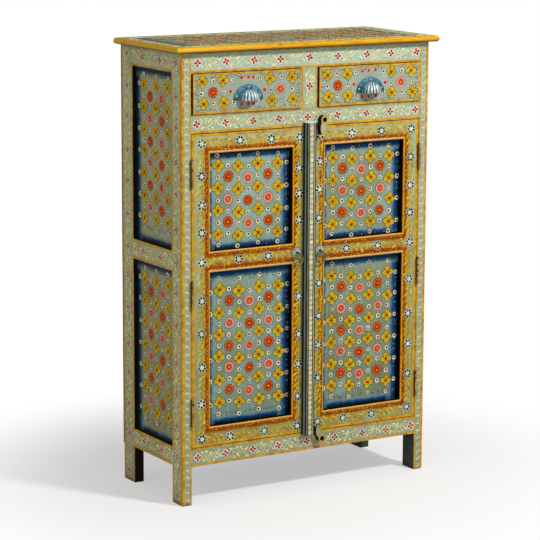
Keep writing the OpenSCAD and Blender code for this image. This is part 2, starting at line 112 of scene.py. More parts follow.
def blend(tree, share, first, second):
    """Goes from the first shader to the second."""
    node = tree.nodes.new("ShaderNodeMixShader")
    tree.links.new(share, node.inputs["Fac"])
    tree.links.new(first, node.inputs[1])
    tree.links.new(second, node.inputs[2])
    return node.outputs[0]


def make_world():
    """Even soft surround for the object, plain white where it is seen."""
    world = bpy.data.worlds.new("Surround")
    bpy.context.scene.world = world
    world.use_nodes = True
    tree = world.node_tree
    tree.nodes.clear()
    out = tree.nodes.new("ShaderNodeOutputWorld")
    soft = shining(tree, "ShaderNodeBackground", WARM_WHITE, SURROUND_LEVEL)
    plain = shining(tree, "ShaderNodeBackground", WHITE, 1.0)
    tree.links.new(blend(tree, seen_directly(tree), soft, plain), out.inputs["Surface"])


make_camera()
make_world()
for lamp_facts in LAMPS:
    add_light(*lamp_facts)


# Node helpers

def srgb(r, g, b):
    """A colour written as it shows on screen, 0 to 255, as linear light."""
    def one(v):
        v /= 255.0
        return v / 12.92 if v <= 0.04045 else ((v + 0.055) / 1.055) ** 2.4
    return (one(r), one(g), one(b), 1.0)


class Tree:
    """Short calls for one material's nodes; lengths in metres, colours 0 to 255 as they show."""

    def __init__(self, name):
        self.mat = bpy.data.materials.new(name)
        self.mat.use_nodes = True
        self.t = self.mat.node_tree
        self.t.nodes.clear()
        self.shader = self.node("BsdfPrincipled")
        self.out = self.node("OutputMaterial", Surface=self.shader.outputs[0])
        coords = self.node("TexCoord")
        self.place = coords.outputs["Object"]
        self.x, self.y, self.z = self.split(self.place)
        self.nx, self.ny, self.nz = self.split(coords.outputs["Normal"])
        self.colour = None

    def split(self, vector):
        return self.node("SeparateXYZ", Vector=vector).outputs

    def put(self, socket, value):
        if isinstance(value, bpy.types.NodeSocket):
            self.t.links.new(value, socket)
        elif value is not None:
            socket.default_value = srgb(*value) if socket.type == "RGBA" else value

    def node(self, kind, **inputs):
        """A node with its inputs filled; their names are written with _ for a space."""
        n = self.t.nodes.new(f"ShaderNode{kind}")
        for name, value in inputs.items():
            self.put(n.inputs[name.replace("_", " ")], value)
        return n

    def math(self, op, a, b=None):
        n = self.node("Math")
        n.operation = op
        for socket, value in zip(n.inputs, (a, b)):
            self.put(socket, value)
        return n.outputs[0]

    def add(self, a, b):
        return self.math("ADD", a, b)

    def sub(self, a, b):
        return self.math("SUBTRACT", a, b)

    def mul(self, first, *others):
        for v in others:
            first = self.math("MULTIPLY", first, v)
        return first

    def size(self, v):
        return self.math("ABSOLUTE", v)

    def most(self, *values):
        v = values[0]
        for w in values[1:]:
            v = self.math("MAXIMUM", v, w)
        return v

    def steps(self, v, zero_at, one_at):
        """A smooth ramp from 0 at the first value to 1 at the second, whichever is higher."""
        first, last = (0.0, 1.0) if zero_at < one_at else (1.0, 0.0)
        n = self.node("MapRange", Value=v, From_Min=min(zero_at, one_at), From_Max=max(zero_at, one_at),
                      To_Min=first, To_Max=last)
        n.interpolation_type = "SMOOTHSTEP"
        n.clamp = True
        return n.outputs["Result"]

    def mix(self, fac, a, b):
        n = self.node("Mix")
        n.data_type = "RGBA"
        n.clamp_factor = True
        self.put(n.inputs[0], fac)
        self.put(n.inputs[6], a)
        self.put(n.inputs[7], b)
        return n.outputs[2]

    def tint(self, colour, tone, *shares):
        """A tone over a colour, as strongly as the product of the shares."""
        return self.mix(self.mul(*shares), colour, tone)

    def lay(self, tone, *shares):
        """Lays a tone over the colour so far."""
        self.colour = self.tint(self.colour, tone, *shares)

    def stretched(self, sx, sy, sz):
        return self.node("Mapping", Scale=(sx, sy, sz), Vector=self.place).outputs[0]

    def noise(self, scale, detail=3.0, rough=0.55, vector=None):
        n = self.node("TexNoise", Scale=scale, Detail=detail, Roughness=rough, Vector=vector or self.place)
        return n.outputs["Fac"]

    def patches(self, scale, none_at, full_at, detail=3.0, rough=0.55):
        """Soft-edged patches of noise."""
        return self.steps(self.noise(scale, detail, rough), none_at, full_at)

    def wander(self, scale, reach, rough=0.55):
        """A length that strays to both sides of nought."""
        return self.mul(self.sub(self.noise(scale, 3.0, rough), 0.5), reach)

    def cells(self, scale):
        return self.node("TexVoronoi", Scale=scale, Vector=self.place).outputs["Distance"]

    def bump(self, height, distance=0.0006, strength=0.3):
        n = self.node("Bump", Strength=strength, Distance=distance, Height=height)
        self.put(self.shader.inputs["Normal"], n.outputs["Normal"])

    def finish(self, roughness=0.5, metallic=None, specular=0.04):
        s = self.shader.inputs
        self.put(s["Base Color"], self.colour)
        self.put(s["Roughness"], roughness)
        self.put(s["Metallic"], metallic)
        s["Specular IOR Level"].default_value = specular
        return self.mat

    def inside(self, axis_a, axis_b, rect):
        """Distance to a rectangle's edge, positive inside it; rect is in millimetres."""
        a0, a1, b0, b1 = (v * MM for v in rect)
        da = self.sub((a1 - a0) / 2, self.size(self.sub(axis_a, (a0 + a1) / 2)))
        db = self.sub((b1 - b0) / 2, self.size(self.sub(axis_b, (b0 + b1) / 2)))
        return self.math("MINIMUM", da, db)

    def behind(self, plane, none_at, full_at):
        """A ramp in depth, between two places in millimetres behind an upright front plane."""
        return self.steps(self.y, (plane + none_at) * MM, (plane + full_at) * MM)


# Places, in millimetres, read from the frame

def low(name, axis):
    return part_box(name)[0]["xyz".index(axis)] / MM


def high(name, axis):
    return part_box(name)[1]["xyz".index(axis)] / MM


def middle_of(name, axis):
    return (low(name, axis) + high(name, axis)) / 2


def openings(a0, a1, rails):
    """The lower and the upper rectangle between three rails, named from the bottom up."""
    bottom, middle, top = rails
    return [(a0, a1, high(bottom, "z"), low(middle, "z")), (a0, a1, high(middle, "z"), low(top, "z"))]


def rails_of(prefix):
    return [f"{prefix}_{part}_rail" for part in ("bottom", "mid", "top")]


FRONT_Y = low("front_mid_rail", "y")
PANEL_Y = low("left_door_panels", "y")
DRAWER_Y = low("left_drawer_front", "y")
STRIP_Y, STRIP_TOP = low("cover_strip", "y"), high("cover_strip", "z")
CATCH_Y = low("top_catch", "y")
SIDE_X = high("leg_front_right", "x")
SIDE_PANEL_X = high("right_side_panels", "x")
TOP_Z = high("top_board", "z")
FRAME_TOP = low("top_board", "z")
LEG_INSIDE = low("leg_front_right", "x")
MIDDLE_RAIL_TOP = high("front_mid_rail", "z")
DOOR_RECTS = {
    "left": openings(high("left_door_hinge_stile", "x"), low("left_door_closing_stile", "x"),
                     rails_of("left_door")),
    "right": openings(high("right_door_closing_stile", "x"), low("right_door_hinge_stile", "x"),
                      rails_of("right_door")),
}
SIDE_RECTS = openings(high("leg_front_left", "y"), low("leg_rear_left", "y"), rails_of("left_side"))
# the mellow field on the top with its navy band, placed from the photograph
TOP_FIELD = (-362, 337, -127, 131)


# Finishes: colours and paint

GRIME = (98, 84, 38)
PALE = (206, 212, 188)
COOL = (146, 184, 188)
SPECK = (52, 40, 22)
RUST, PALE_RUST, RUST_HAZE = (128, 54, 2), (152, 76, 4), (164, 122, 26)
NAVY = (6, 28, 52)
BLACK = (10, 12, 14)
BLUE_EDGE = ((122, 164, 172), (6, 60, 110))
DIM_EDGE = ((112, 126, 112), (24, 48, 72))
# each ground at the top of the cabinet and at the floor
FRONT_GROUND = ((154, 170, 148), (142, 152, 128))
SIDE_GROUND = ((170, 174, 138), (156, 154, 114))
DOOR_GROUND = ((160, 168, 128), (134, 138, 96))
PANEL_GROUND = {"left": ((142, 164, 148), (110, 134, 120)), "right": ((134, 150, 126), (108, 122, 100))}
SIDE_PANEL_GROUND = ((160, 162, 124), (136, 134, 96))
DRAWER_GROUND = ((146, 160, 142), (146, 160, 142))
TOP_BORDER_GROUND = ((130, 134, 92), (130, 134, 92))
# tone, noise scale, detail, roughness, none below, full above, strength
AGEING = (
    (GRIME, 7.0, 4.0, 0.6, 0.48, 0.72, 0.34),
    (COOL, 17.0, 3.0, 0.55, 0.54, 0.74, 0.40),
    (GRIME, 70.0, 4.0, 0.65, 0.52, 0.74, 0.26),
)
# where each tone of a panel's edge starts and is full, as shares of the edge's width, and its strength
EDGE_STEPS = ((1.25, 0.75, 0.45), (1.0, 0.40, 1.0), (0.42, 0.08, 1.0))
FOOT_EDGE, NEAR_EDGE, FAR_EDGE, HEAD_EDGE = 0.020, 0.021, 0.031, 0.026


def brushed(t, along="z"):
    """Height of brush marks that run along one axis."""
    return t.noise(7.0, 4.0, 0.6, t.stretched(*(4 if axis == along else 60 for axis in "xyz")))


def aged(t, colour, amount=1.0):
    """Old varnish: broad warm clouds, cool worn patches, small brown stains and a few dark specks."""
    for tone, scale, detail, rough, none_at, full_at, strength in AGEING:
        colour = t.tint(colour, tone, t.patches(scale, none_at, full_at, detail, rough), strength * amount)
    spots = t.mul(t.steps(t.cells(80.0), 0.14, 0.07), t.patches(26.0, 0.60, 0.66, 1.0))
    return t.tint(colour, SPECK, spots, 0.6 * amount)


def ground(t, along, colours, amount=1.0):
    """Brushed ground paint, darker and warmer towards the floor."""
    streak = brushed(t, along)
    above, below = colours
    colour = t.mix(t.steps(t.z, 1.16, 0.10), above, below)
    colour = t.tint(colour, PALE, t.steps(streak, 0.48, 0.78), 0.34)
    colour = t.tint(colour, GRIME, t.steps(streak, 0.46, 0.22), 0.30)
    return aged(t, colour, amount), streak


# dark wash of the bare wood, made near black partly as painted shade on the flanks seen from outside
def dark_wash_and_shade(t, streak):
    return t.mix(t.steps(streak, 0.3, 0.75), (14, 12, 8), (38, 34, 26))


def rough_from(t, streak):
    return t.add(0.34, t.mul(streak, 0.40))


def frame_paint(name, along, cooler=0.0):
    """Sage on the faces that show from outside, a dark wash on all others, near black partly as painted
    shade.
    """
    t = Tree(name)
    front_sage, streak = ground(t, along, FRONT_GROUND)
    front_sage = t.mix(cooler, front_sage, (174, 196, 186))
    side_sage, _ = ground(t, along, SIDE_GROUND, 1.2)
    front = t.mul(t.steps(t.ny, -0.5, -0.9), t.behind(FRONT_Y, 5, 2))
    near_side = t.steps(t.size(t.x), (SIDE_X - 1.5) * MM, (SIDE_X - 0.5) * MM)
    side = t.mul(t.steps(t.size(t.nx), 0.5, 0.9), near_side)
    inner = t.mix(t.steps(t.x, 0.20, 0.345), dark_wash_and_shade(t, streak), (62, 70, 62))
    t.colour = t.mix(side, t.mix(front, inner, front_sage), side_sage)
    t.lay((126, 76, 30), t.steps(t.z, 0.014, 0.003), 0.7, t.most(front, side))
    t.bump(streak)
    return t.finish(rough_from(t, streak))


def door_paint(name, along, rects, rust_below=None):
    """Olive sage, rust next to the beads, a dark wash behind, and black on the flanks inside the openings as
    painted shade.
    """
    t = Tree(name)
    sage, streak = ground(t, along, DOOR_GROUND)
    near = t.most(*(t.inside(t.x, t.z, rect) for rect in rects))
    ragged = t.add(near, t.wander(36.0, 0.010, 0.6))
    t.colour = t.tint(sage, RUST_HAZE, t.steps(ragged, -0.031, -0.013), 0.48)
    rust = t.mix(t.patches(40.0, 0.4, 0.7), RUST, PALE_RUST)
    t.lay(rust, t.steps(ragged, -0.0215, -0.0115))
    if rust_below is not None:
        height = t.add(t.z, t.wander(30.0, 0.02))
        t.lay(rust, t.steps(height, rust_below + 0.006, rust_below - 0.008), 0.75)
    front = t.steps(t.ny, -0.8, -0.96)
    t.colour = t.mix(front, dark_wash_and_shade(t, streak), t.colour)
    # painted shade: black on the flanks inside the openings
    t.lay(BLACK, t.sub(1.0, front), t.steps(near, -0.004, -0.001))
    t.bump(streak)
    return t.finish(rough_from(t, streak))


def panel_paint(name, axis, rects, facing, colours, tones):
    """Sage field whose four edges fall through a pale and a deep tone to navy."""
    t = Tree(name)
    across = t.x if axis == "x" else t.y
    t.colour, streak = ground(t, "z", colours, 1.15)
    wander = t.wander(64.0, 0.014, 0.7)
    lower, upper = rects
    near, far = lower[0] * MM, lower[1] * MM
    in_upper = t.math("GREATER_THAN", t.z, (lower[3] + upper[2]) / 2 * MM)
    foot, head = (t.add(lower[k] * MM, t.mul(in_upper, (upper[k] - lower[k]) * MM)) for k in (2, 3))
    for distance, wide in ((t.sub(t.z, foot), FOOT_EDGE), (t.sub(across, near), NEAR_EDGE),
                           (t.sub(far, across), FAR_EDGE), (t.sub(head, t.z), HEAD_EDGE)):
        distance = t.add(distance, wander)
        for (start, end, strength), tone in zip(EDGE_STEPS, (*tones, NAVY)):
            t.lay(tone, t.steps(distance, start * wide, end * wide), strength)
    normal, way = facing
    t.colour = t.mix(t.steps(normal(t), 0.5 * way, 0.9 * way), dark_wash_and_shade(t, streak), t.colour)
    t.bump(streak, 0.0005)
    return t.finish(rough_from(t, streak))


def drawer_paint(name):
    """Drawer front: sage on the face, black round its edges as painted shade of the gap, bare wood behind.
    """
    t = Tree(name)
    sage, streak = ground(t, "x", DRAWER_GROUND)
    shown = t.mul(t.steps(t.ny, -0.85, -0.97), t.behind(DRAWER_Y, 5, 1.5))
    wood = t.mix(streak, (120, 88, 50), (70, 48, 28))
    # painted shade: black on the flanks next to the face, where the gap round the drawer is in shadow
    wood = t.mix(t.behind(DRAWER_Y, 9, 5), wood, BLACK)
    t.colour = t.mix(shown, wood, sage)
    t.bump(streak)
    return t.finish(rough_from(t, streak))


def bead_paint(name):
    """Ochre bead, paler on its upper edges as a painted highlight and darker on its sides, which meet the
    frame and the panel, as painted shade.
    """
    t = Tree(name)
    streak = brushed(t)
    t.colour = t.mix(t.steps(streak, 0.40, 0.72), (214, 150, 22), (178, 112, 10))
    t.lay((236, 184, 60), t.patches(30.0, 0.5, 0.75), 0.45)
    # painted shade: darker brown on the faces turned away from the front
    t.lay((120, 66, 6), t.steps(t.ny, -0.95, -0.55), 0.75)
    # painted highlight: pale on the faces turned upwards
    t.lay((214, 196, 150), t.steps(t.nz, 0.25, 0.7), 0.8)
    t.lay((112, 66, 12), t.patches(48.0, 0.60, 0.70, 4.0, 0.7), 0.5)
    t.bump(streak, 0.0004)
    return t.finish(rough_from(t, streak))


def stained_wood(name, along, light, dark):
    """Plain carcass timber with grain along one axis."""
    t = Tree(name)
    grain = t.noise(5.0, 6.0, 0.7, t.stretched(*(3 if axis == along else 40 for axis in "xyz")))
    t.colour = t.mix(t.steps(grain, 0.35, 0.68), light, dark)
    t.lay((50, 40, 30), t.patches(6.0, 0.5, 0.8), 0.35)
    t.bump(grain, strength=0.4)
    return t.finish(t.add(0.45, t.mul(grain, 0.4)))


def top_paint(name):
    """Sage border, navy band and mellow field on the top; ochre on the bullnose, with a painted highlight
    towards its left end and painted shade on its lower side.
    """
    t = Tree(name)
    border, streak = ground(t, "x", TOP_BORDER_GROUND)
    depth = t.inside(t.x, t.y, TOP_FIELD)
    mellow = t.mix(t.patches(14.0, 0.4, 0.7), (84, 98, 72), (78, 80, 48))
    t.colour = t.mix(t.steps(depth, 0.016, 0.020), border, aged(t, mellow, 1.2))
    band = t.mul(t.steps(depth, 0.0, 0.003), t.steps(depth, 0.023, 0.014))
    at_the_ends = t.add(0.25, t.mul(0.75, t.steps(t.size(t.x), 0.300, 0.325)))
    band_blue = t.mix(t.noise(40.0, 2.0), NAVY, (10, 44, 72))
    t.lay(band_blue, band, t.patches(22.0, 0.28, 0.40), at_the_ends)
    gold = t.mix(t.steps(streak, 0.4, 0.72), (222, 160, 26), (186, 118, 10))
    # painted highlight: brighter ochre towards the left end of the bullnose
    gold = t.tint(gold, (236, 188, 52), t.steps(t.x, -0.05, -0.39), 0.5)
    gold = t.tint(gold, (124, 72, 12), t.patches(36.0, 0.58, 0.68, 4.0, 0.7), 0.7)
    # painted shade: darker ochre on the downward-facing part of the bullnose
    gold = t.tint(gold, (122, 72, 8), t.steps(t.nz, 0.1, -0.7), 0.6)
    t.lay(gold, t.steps(t.nz, 0.97, 0.80))
    t.lay((84, 58, 26), t.steps(t.nz, -0.5, -0.9))
    t.bump(streak, 0.0005, 0.25)
    return t.finish(t.add(0.34, t.mul(streak, 0.35)), specular=0.03)


def strip_paint(name):
    """Cover strip: sage face with a painted highlight on its right fillet and painted shade in its grooves,
    flanks striped by depth in painted light and shade, and a painted highlight on its top end.
    """
    t = Tree(name)
    wide = t.size(t.x)
    sage, streak = ground(t, "z", FRONT_GROUND)
    # painted highlight: paler on the right fillet
    t.colour = t.tint(sage, (200, 208, 180), t.steps(t.x, 0.007, 0.009), 0.6)
    # painted shade in the grooves
    groove = t.mul(t.steps(wide, 0.0052, 0.0062), t.steps(wide, 0.0088, 0.0078))
    t.lay((28, 32, 24), groove)
    # painted light and shade on the flanks: dark where they are in shade, pale on the lit reed
    flank = t.most(t.steps(wide, 0.0096, 0.0106), t.behind(STRIP_Y, 0.6, 2.9))
    lit_reed = t.mul(t.behind(STRIP_Y, 3.6, 5.1), t.behind(STRIP_Y, 10.6, 9.1))
    dark = t.mix(t.steps(streak, 0.35, 0.7), (18, 24, 24), (56, 68, 64))
    t.lay(t.mix(lit_reed, dark, (122, 136, 122)), flank)
    # painted highlight on the top end
    top_end_highlight = t.steps(t.z, (STRIP_TOP - 2.8) * MM, (STRIP_TOP - 1.5) * MM)
    t.lay((206, 214, 200), top_end_highlight)
    t.bump(streak, strength=0.35)
    return t.finish(rough_from(t, streak))


def catch_paint(name):
    """Turning catch: sage face, dark round its thick sides and inside its eye as painted shade, with worn
    brown patches.
    """
    t = Tree(name)
    sage, streak = ground(t, "z", FRONT_GROUND)
    # painted shade with worn patches: the sides and the inside of the eye are dark
    side = t.mix(t.patches(60.0, 0.4, 0.7, 4.0, 0.7), (22, 20, 12), (84, 66, 30))
    t.colour = t.mix(t.steps(t.ny, -0.55, -0.9), side, sage)
    t.bump(t.noise(160.0), 0.0005, 0.4)
    return t.finish(rough_from(t, streak))


def old_iron(name, base, bright, rust, metallic):
    t = Tree(name)
    grain = t.noise(240.0, 5.0, 0.7)
    t.colour = t.mix(t.steps(grain, 0.35, 0.7), base, bright)
    t.lay((96, 58, 30), t.patches(90.0, 0.5, 0.66, 4.0), rust)
    t.bump(grain, 0.0004, 0.5)
    return t.finish(t.add(0.3, t.mul(grain, 0.35)), metallic, 0.4)


def painted_hinge(name):
    """Iron hinge painted ochre with the frame, dark on its left-facing side as painted shade and rubbed to
    dark metal in spots.
    """
    t = Tree(name)
    kept = t.patches(120.0, 0.40, 0.54, 4.0, 0.7)
    ochre = t.mix(t.patches(60.0, 0.4, 0.7), (206, 146, 24), (160, 104, 14))
    # painted shade: dark on the faces turned to the left; the dark spots elsewhere are wear
    t.colour = t.tint((28, 24, 14), ochre, kept, t.steps(t.nx, -0.92, -0.50))
    t.bump(t.noise(200.0), 0.0005, 0.5)
    return t.finish(0.55, 0.25, 0.3)


def cup_paint(name, node):
    """Fluted cup pull: blue paint, dark in the flutes, rubbed to silver over the middle ones, with painted
    shade on its underside.
    """
    t = Tree(name)
    shell_half_width, shell_depth, flange, flutes = 0.031, 0.0245, 2.5, 9
    from_middle = t.sub(t.x, middle_of(node, "x") * MM)
    flange_front = (high(node, "y") - flange) * MM
    half_up = middle_of(node, "z") * MM
    foot = low(node, "z") * MM
    round_it = t.math("ARCTAN2", t.mul(t.sub(flange_front, t.y), 1 / shell_depth),
                      t.mul(from_middle, 1 / shell_half_width))
    proud = t.steps(t.y, flange_front - 0.001, flange_front - 0.005)
    ridge = t.size(t.math("SINE", t.mul(round_it, flutes)))
    mottled = t.noise(150.0, 4.0, 0.65)
    t.colour = t.mix(t.steps(mottled, 0.36, 0.66), (22, 66, 92), (84, 140, 164))
    # pale patches: mottled paint, and painted highlights in part
    t.lay((138, 184, 198), t.patches(90.0, 0.54, 0.68, rough=0.6), 0.6)
    off = t.add(t.size(t.sub(round_it, math.pi / 2)), t.mul(t.sub(mottled, 0.5), 0.9))
    fluted = t.steps(t.z, half_up + 0.014, half_up + 0.002)
    rubbed = t.mul(proud, t.steps(off, 1.25, 0.55), fluted, t.steps(ridge, 0.35, 0.75))
    silver = t.mix(t.patches(260.0, 0.4, 0.6, 2.0), (214, 220, 214), (128, 150, 156))
    t.lay(silver, rubbed, 0.9)
    groove = t.mul(proud, t.steps(ridge, 0.50, 0.12), t.add(0.35, t.mul(0.65, fluted)))
    t.lay((14, 34, 46), groove, 0.8)
    at_the_end = t.steps(t.size(from_middle), 0.024, 0.040)
    t.lay((22, 46, 52), at_the_end, t.steps(t.z, half_up + 0.006, half_up - 0.012), 0.8)
    # painted shade: near black on the downward faces at the foot of the cup
    underside_shade = t.mul(t.steps(t.z, foot + 0.0065, foot + 0.0015), t.steps(t.nz, 0.1, -0.5))
    t.lay((14, 18, 20), underside_shade)
    t.bump(mottled, strength=0.5)
    return t.finish(t.add(0.32, t.mul(mottled, 0.3)), t.mul(rubbed, 0.4), 0.35)


def plate_paint(name, node):
    """Ring plate: grey-green skirt, cream dome with a ring of teal dots round a dark centre."""
    t = Tree(name)
    dome_edge, dot_ring, heart, dots_round = 0.0115, 0.0085, 0.0050, 8.0
    dx = t.sub(t.x, middle_of(node, "x") * MM)
    dz = t.sub(t.z, middle_of(node, "z") * MM)
    radius = t.math("SQRT", t.add(t.mul(dx, dx), t.mul(dz, dz)))
    grain = t.noise(180.0, 4.0, 0.7)
    cream = t.mix(t.steps(grain, 0.4, 0.66), (190, 192, 168), (120, 124, 100))
    t.colour = t.mix(t.steps(radius, dome_edge, dome_edge + 0.0013), cream, (112, 120, 92))
    beat = t.math("COSINE", t.mul(t.math("ARCTAN2", dz, dx), dots_round))
    on_ring = t.steps(t.size(t.sub(radius, dot_ring)), 0.0026, 0.0014)
    t.lay((12, 78, 84), t.steps(beat, 0.1, 0.6), on_ring, 0.85)
    t.lay((44, 40, 28), t.steps(radius, heart, heart - 0.0014))
    t.bump(grain, 0.0005, 0.5)
    return t.finish(0.5, 0.1, 0.3)


def wear(mat, *names):
    for name in names:
        mats = nodes[name].data.materials
        mats.clear()
        mats.append(mat)
        for p in nodes[name].data.polygons:
            p.material_index = 0


# the pieces of a door frame, without its middle rail, and the axis that their brush marks follow
DOOR_PIECES = (("hinge_stile", "z"), ("closing_stile", "z"), ("top_rail", "x"), ("bottom_rail", "x"))


def dress_cabinet():
    """Gives the carcass, the catches and the strip their finishes."""
    legs = [f"leg_{end}_{side}" for end in ("front", "rear") for side in SIDES]
    wear(frame_paint("frame_paint_upright", "z"), *legs, "drawer_divider")
    wear(frame_paint("frame_paint_deep", "y"), *rails_of("left_side"), *rails_of("right_side"))
    wear(frame_paint("frame_paint_top", "x", 0.35), "front_top_rail")
    wear(frame_paint("frame_paint_middle", "x"), "front_mid_rail")
    wear(frame_paint("frame_paint_bottom", "x"), "front_bottom_rail")
    wear(top_paint("top_board_paint"), "top_board")
    wear(strip_paint("cover_strip_paint"), "cover_strip")
    wear(stained_wood("back_wood", "z", (98, 92, 78), (62, 58, 48)), "back_panel", "rear_rails")
    wear(stained_wood("inner_wood_across", "x", (112, 92, 68), (66, 52, 38)), "bottom_board", "shelf")
    wear(stained_wood("inner_wood_deep", "y", (112, 92, 68), (66, 52, 38)), "shelf_cleats", "drawer_guides")
    for catch in ("top_catch", "bottom_catch"):
        wear(catch_paint(f"{catch}_paint"), catch)


def dress_doors_and_drawers():
    """Gives what comes once on each side its finish."""
    hinge, bead = painted_hinge("hinge_paint"), bead_paint("bead_ochre")
    iron = old_iron("ring_iron", (46, 50, 44), (138, 144, 130), 0.3, 0.6)
    screw_metal = old_iron("screw_metal", (112, 104, 84), (196, 188, 160), 0.25, 0.85)
    drawer_wood = stained_wood("drawer_wood", "x", (146, 112, 74), (96, 68, 42))
    wear(hinge, "frame_hinge_leaves", "hinge_pins")
    wear(iron, "catch_pivots")
    for side, outward in zip(SIDES, (-1.0, 1.0)):
        door, drawer, rects = f"{side}_door", f"{side}_drawer", DOOR_RECTS[side]
        wear(panel_paint(f"{side}_side_panel_paint", "y", SIDE_RECTS, (lambda t: t.nx, outward),
                         SIDE_PANEL_GROUND, DIM_EDGE), f"{side}_side_panels")
        for part, along in DOOR_PIECES:
            wear(door_paint(f"{door}_{part}_paint", along, rects), f"{door}_{part}")
        rust_below = (rects[0][3] + rects[1][2]) / 2 * MM - 0.004
        wear(door_paint(f"{door}_mid_rail_paint", "x", rects, rust_below), f"{door}_mid_rail")
        wear(panel_paint(f"{door}_panel_paint", "x", rects, (lambda t: t.ny, -1.0),
                         PANEL_GROUND[side], BLUE_EDGE), f"{door}_panels")
        wear(bead, f"{door}_beads")
        wear(hinge, f"{door}_hinge_leaves")
        wear(plate_paint(f"{side}_plate_paint", f"{side}_ring_plate"), f"{side}_ring_plate")
        wear(iron, f"{side}_ring")
        wear(drawer_paint(f"{drawer}_face"), f"{drawer}_front")
        wear(drawer_wood, f"{drawer}_box", f"{drawer}_bottom")
        wear(cup_paint(f"{side}_cup_blue", f"{drawer}_pull"), f"{drawer}_pull")
        wear(screw_metal, f"{side}_pull_screws")


dress_cabinet()
dress_doors_and_drawers()


# Brush: how a dab or a stroke of paint is made, in millimetres

rng = random.Random(20)
PAINT = {}
SUNK = -0.1
ABOUT_A_TURN = 6.28


def sway(amount):
    return rng.uniform(-amount, amount)


def any_angle():
    return rng.uniform(0, ABOUT_A_TURN)


def either_way():
    return rng.choice((-1, 1))


class Face:
    """A flat painted side of one body: an origin, two directions along it and one out of it."""

    def __init__(self, body, origin, u=(1, 0, 0), v=(0, 0, 1)):
        self.body = body
        self.origin, self.u, self.v = Vector(origin), Vector(u), Vector(v)
        self.out = self.u.cross(self.v)

    def at(self, a, b, height):
        return (self.origin + self.u * a + self.v * b + self.out * height) * MM


def slab(face, colour, outline, bottom, top):
    """One closed dab of paint; the outline runs anticlockwise seen from outside."""
    points, faces = PAINT.setdefault((face.body, colour), ([], []))
    n, k = len(outline), len(points)
    points += [face.at(a, b, bottom) for a, b in outline]
    points += [face.at(a, b, top) for a, b in outline]
    faces.append(tuple(range(k + n, k + 2 * n)))
    faces.append(tuple(range(k + n - 1, k - 1, -1)))
    faces += [(k + i, k + (i + 1) % n, k + n + (i + 1) % n, k + n + i) for i in range(n)]


def stroke(face, colour, path, widths, top):
    """One closed brush stroke along a path, with its half width at each point."""
    points, faces = PAINT.setdefault((face.body, colour), ([], []))
    n, k = len(path), len(points)
    for i, ((a, b), w) in enumerate(zip(path, widths)):
        (a0, b0), (a1, b1) = path[max(i - 1, 0)], path[min(i + 1, n - 1)]
        long = math.hypot(a1 - a0, b1 - b0) or 1.0
        sa, sb = -(b1 - b0) / long * w, (a1 - a0) / long * w
        for side, height in ((-1, SUNK), (1, SUNK), (-1, top), (1, top)):
            points.append(face.at(a + side * sa, b + side * sb, height))
    for i in range(n - 1):
        p, q = k + 4 * i, k + 4 * i + 4
        faces += [(p + 2, q + 2, q + 3, p + 3), (p, p + 1, q + 1, q)]
        faces += [(p, q, q + 2, p + 2), (q + 1, p + 1, p + 3, q + 3)]
    e = k + 4 * (n - 1)
    faces += [(k + 1, k, k + 2, k + 3), (e, e + 1, e + 3, e + 2)]


def turned(cx, cy, x, y, turn):
    """A place next to a centre, turned about it."""
    return (cx + x * math.cos(turn) - y * math.sin(turn), cy + x * math.sin(turn) + y * math.cos(turn))


def away(cx, cy, reach, angle):
    return cx + reach * math.cos(angle), cy + reach * math.sin(angle)


def ring_of(cx, cy, rx, ry=None, sides=12, turn=0.0, wobble=0.04, lobes=0, depth=0.0):
    """A hand-drawn round or lobed outline."""
    ry = rx if ry is None else ry
    found = []
    for i in range(sides):
        a = 2 * math.pi * i / sides
        r = 1.0 + sway(wobble) + depth * math.cos(lobes * a)
        found.append(turned(cx, cy, rx * r * math.cos(a), ry * r * math.sin(a), turn))
    return found


def dot(face, colour, cx, cy, radius, top, bottom=0.05, sides=9):
    slab(face, colour, ring_of(cx, cy, radius, sides=sides), bottom, top)


def leaf(face, colour, cx, cy, angle, long, wide, bend=0.6, top=0.36):
    """A comma-shaped dab, thin at its tail, that curves one way."""
    steps, thinnest = 6, 0.18
    a = angle - bend / 2
    x, y = away(cx, cy, -0.5 * long, angle)
    path, widths = [], []
    for i in range(steps + 1):
        path.append((x, y))
        widths.append(max(thinnest, 0.5 * wide * math.sin(math.pi * (i / steps) ** 0.75) ** 0.8))
        a += bend / steps
        x += long / steps * math.cos(a)
        y += long / steps * math.sin(a)
    stroke(face, colour, path, widths, top)


def curl(face, colour, cx, cy, radius, start, sweep, width, shrink=0.45, top=0.3):
    """A spiral line that tightens towards its end."""
    count = max(7, int(abs(sweep) * 3.2))
    path, widths = [], []
    for i in range(count + 1):
        f = i / count
        path.append(away(cx, cy, radius * (1 - shrink * f), start + sweep * f))
        widths.append(width * (0.35 + 0.65 * math.sin(math.pi * (0.12 + 0.8 * f))))
    stroke(face, colour, path, widths, top)


def line(face, colour, a, b, half, waver=0.3, top=0.3):
    """A straight painted line with a slightly unsteady edge."""
    long = math.hypot(b[0] - a[0], b[1] - a[1])
    count = max(2, int(long / 22))
    path = [(a[0] + (b[0] - a[0]) * i / count, a[1] + (b[1] - a[1]) * i / count) for i in range(count + 1)]
    stroke(face, colour, path, [half + sway(waver) for _ in path], top)


def frame_line(face, rect, half):
    """Four yellow lines just inside a rectangle's edges, each ending short of the next."""
    a0, a1, b0, b1 = rect
    for b in (b0 + half, b1 - half):
        line(face, "line_yellow", (a0, b), (a1, b), half - 0.3, 0.25, 0.3)
    for a in (a0 + half, a1 - half):
        line(face, "line_yellow", (a, b0 + 2 * half), (a, b1 - 2 * half), half - 0.3, 0.25, 0.32)


def laid(along):
    """Puts a place along a strip and a place across it in the order that its face takes."""
    return (lambda s, t: (s, t)) if along else (lambda s, t: (t, s))


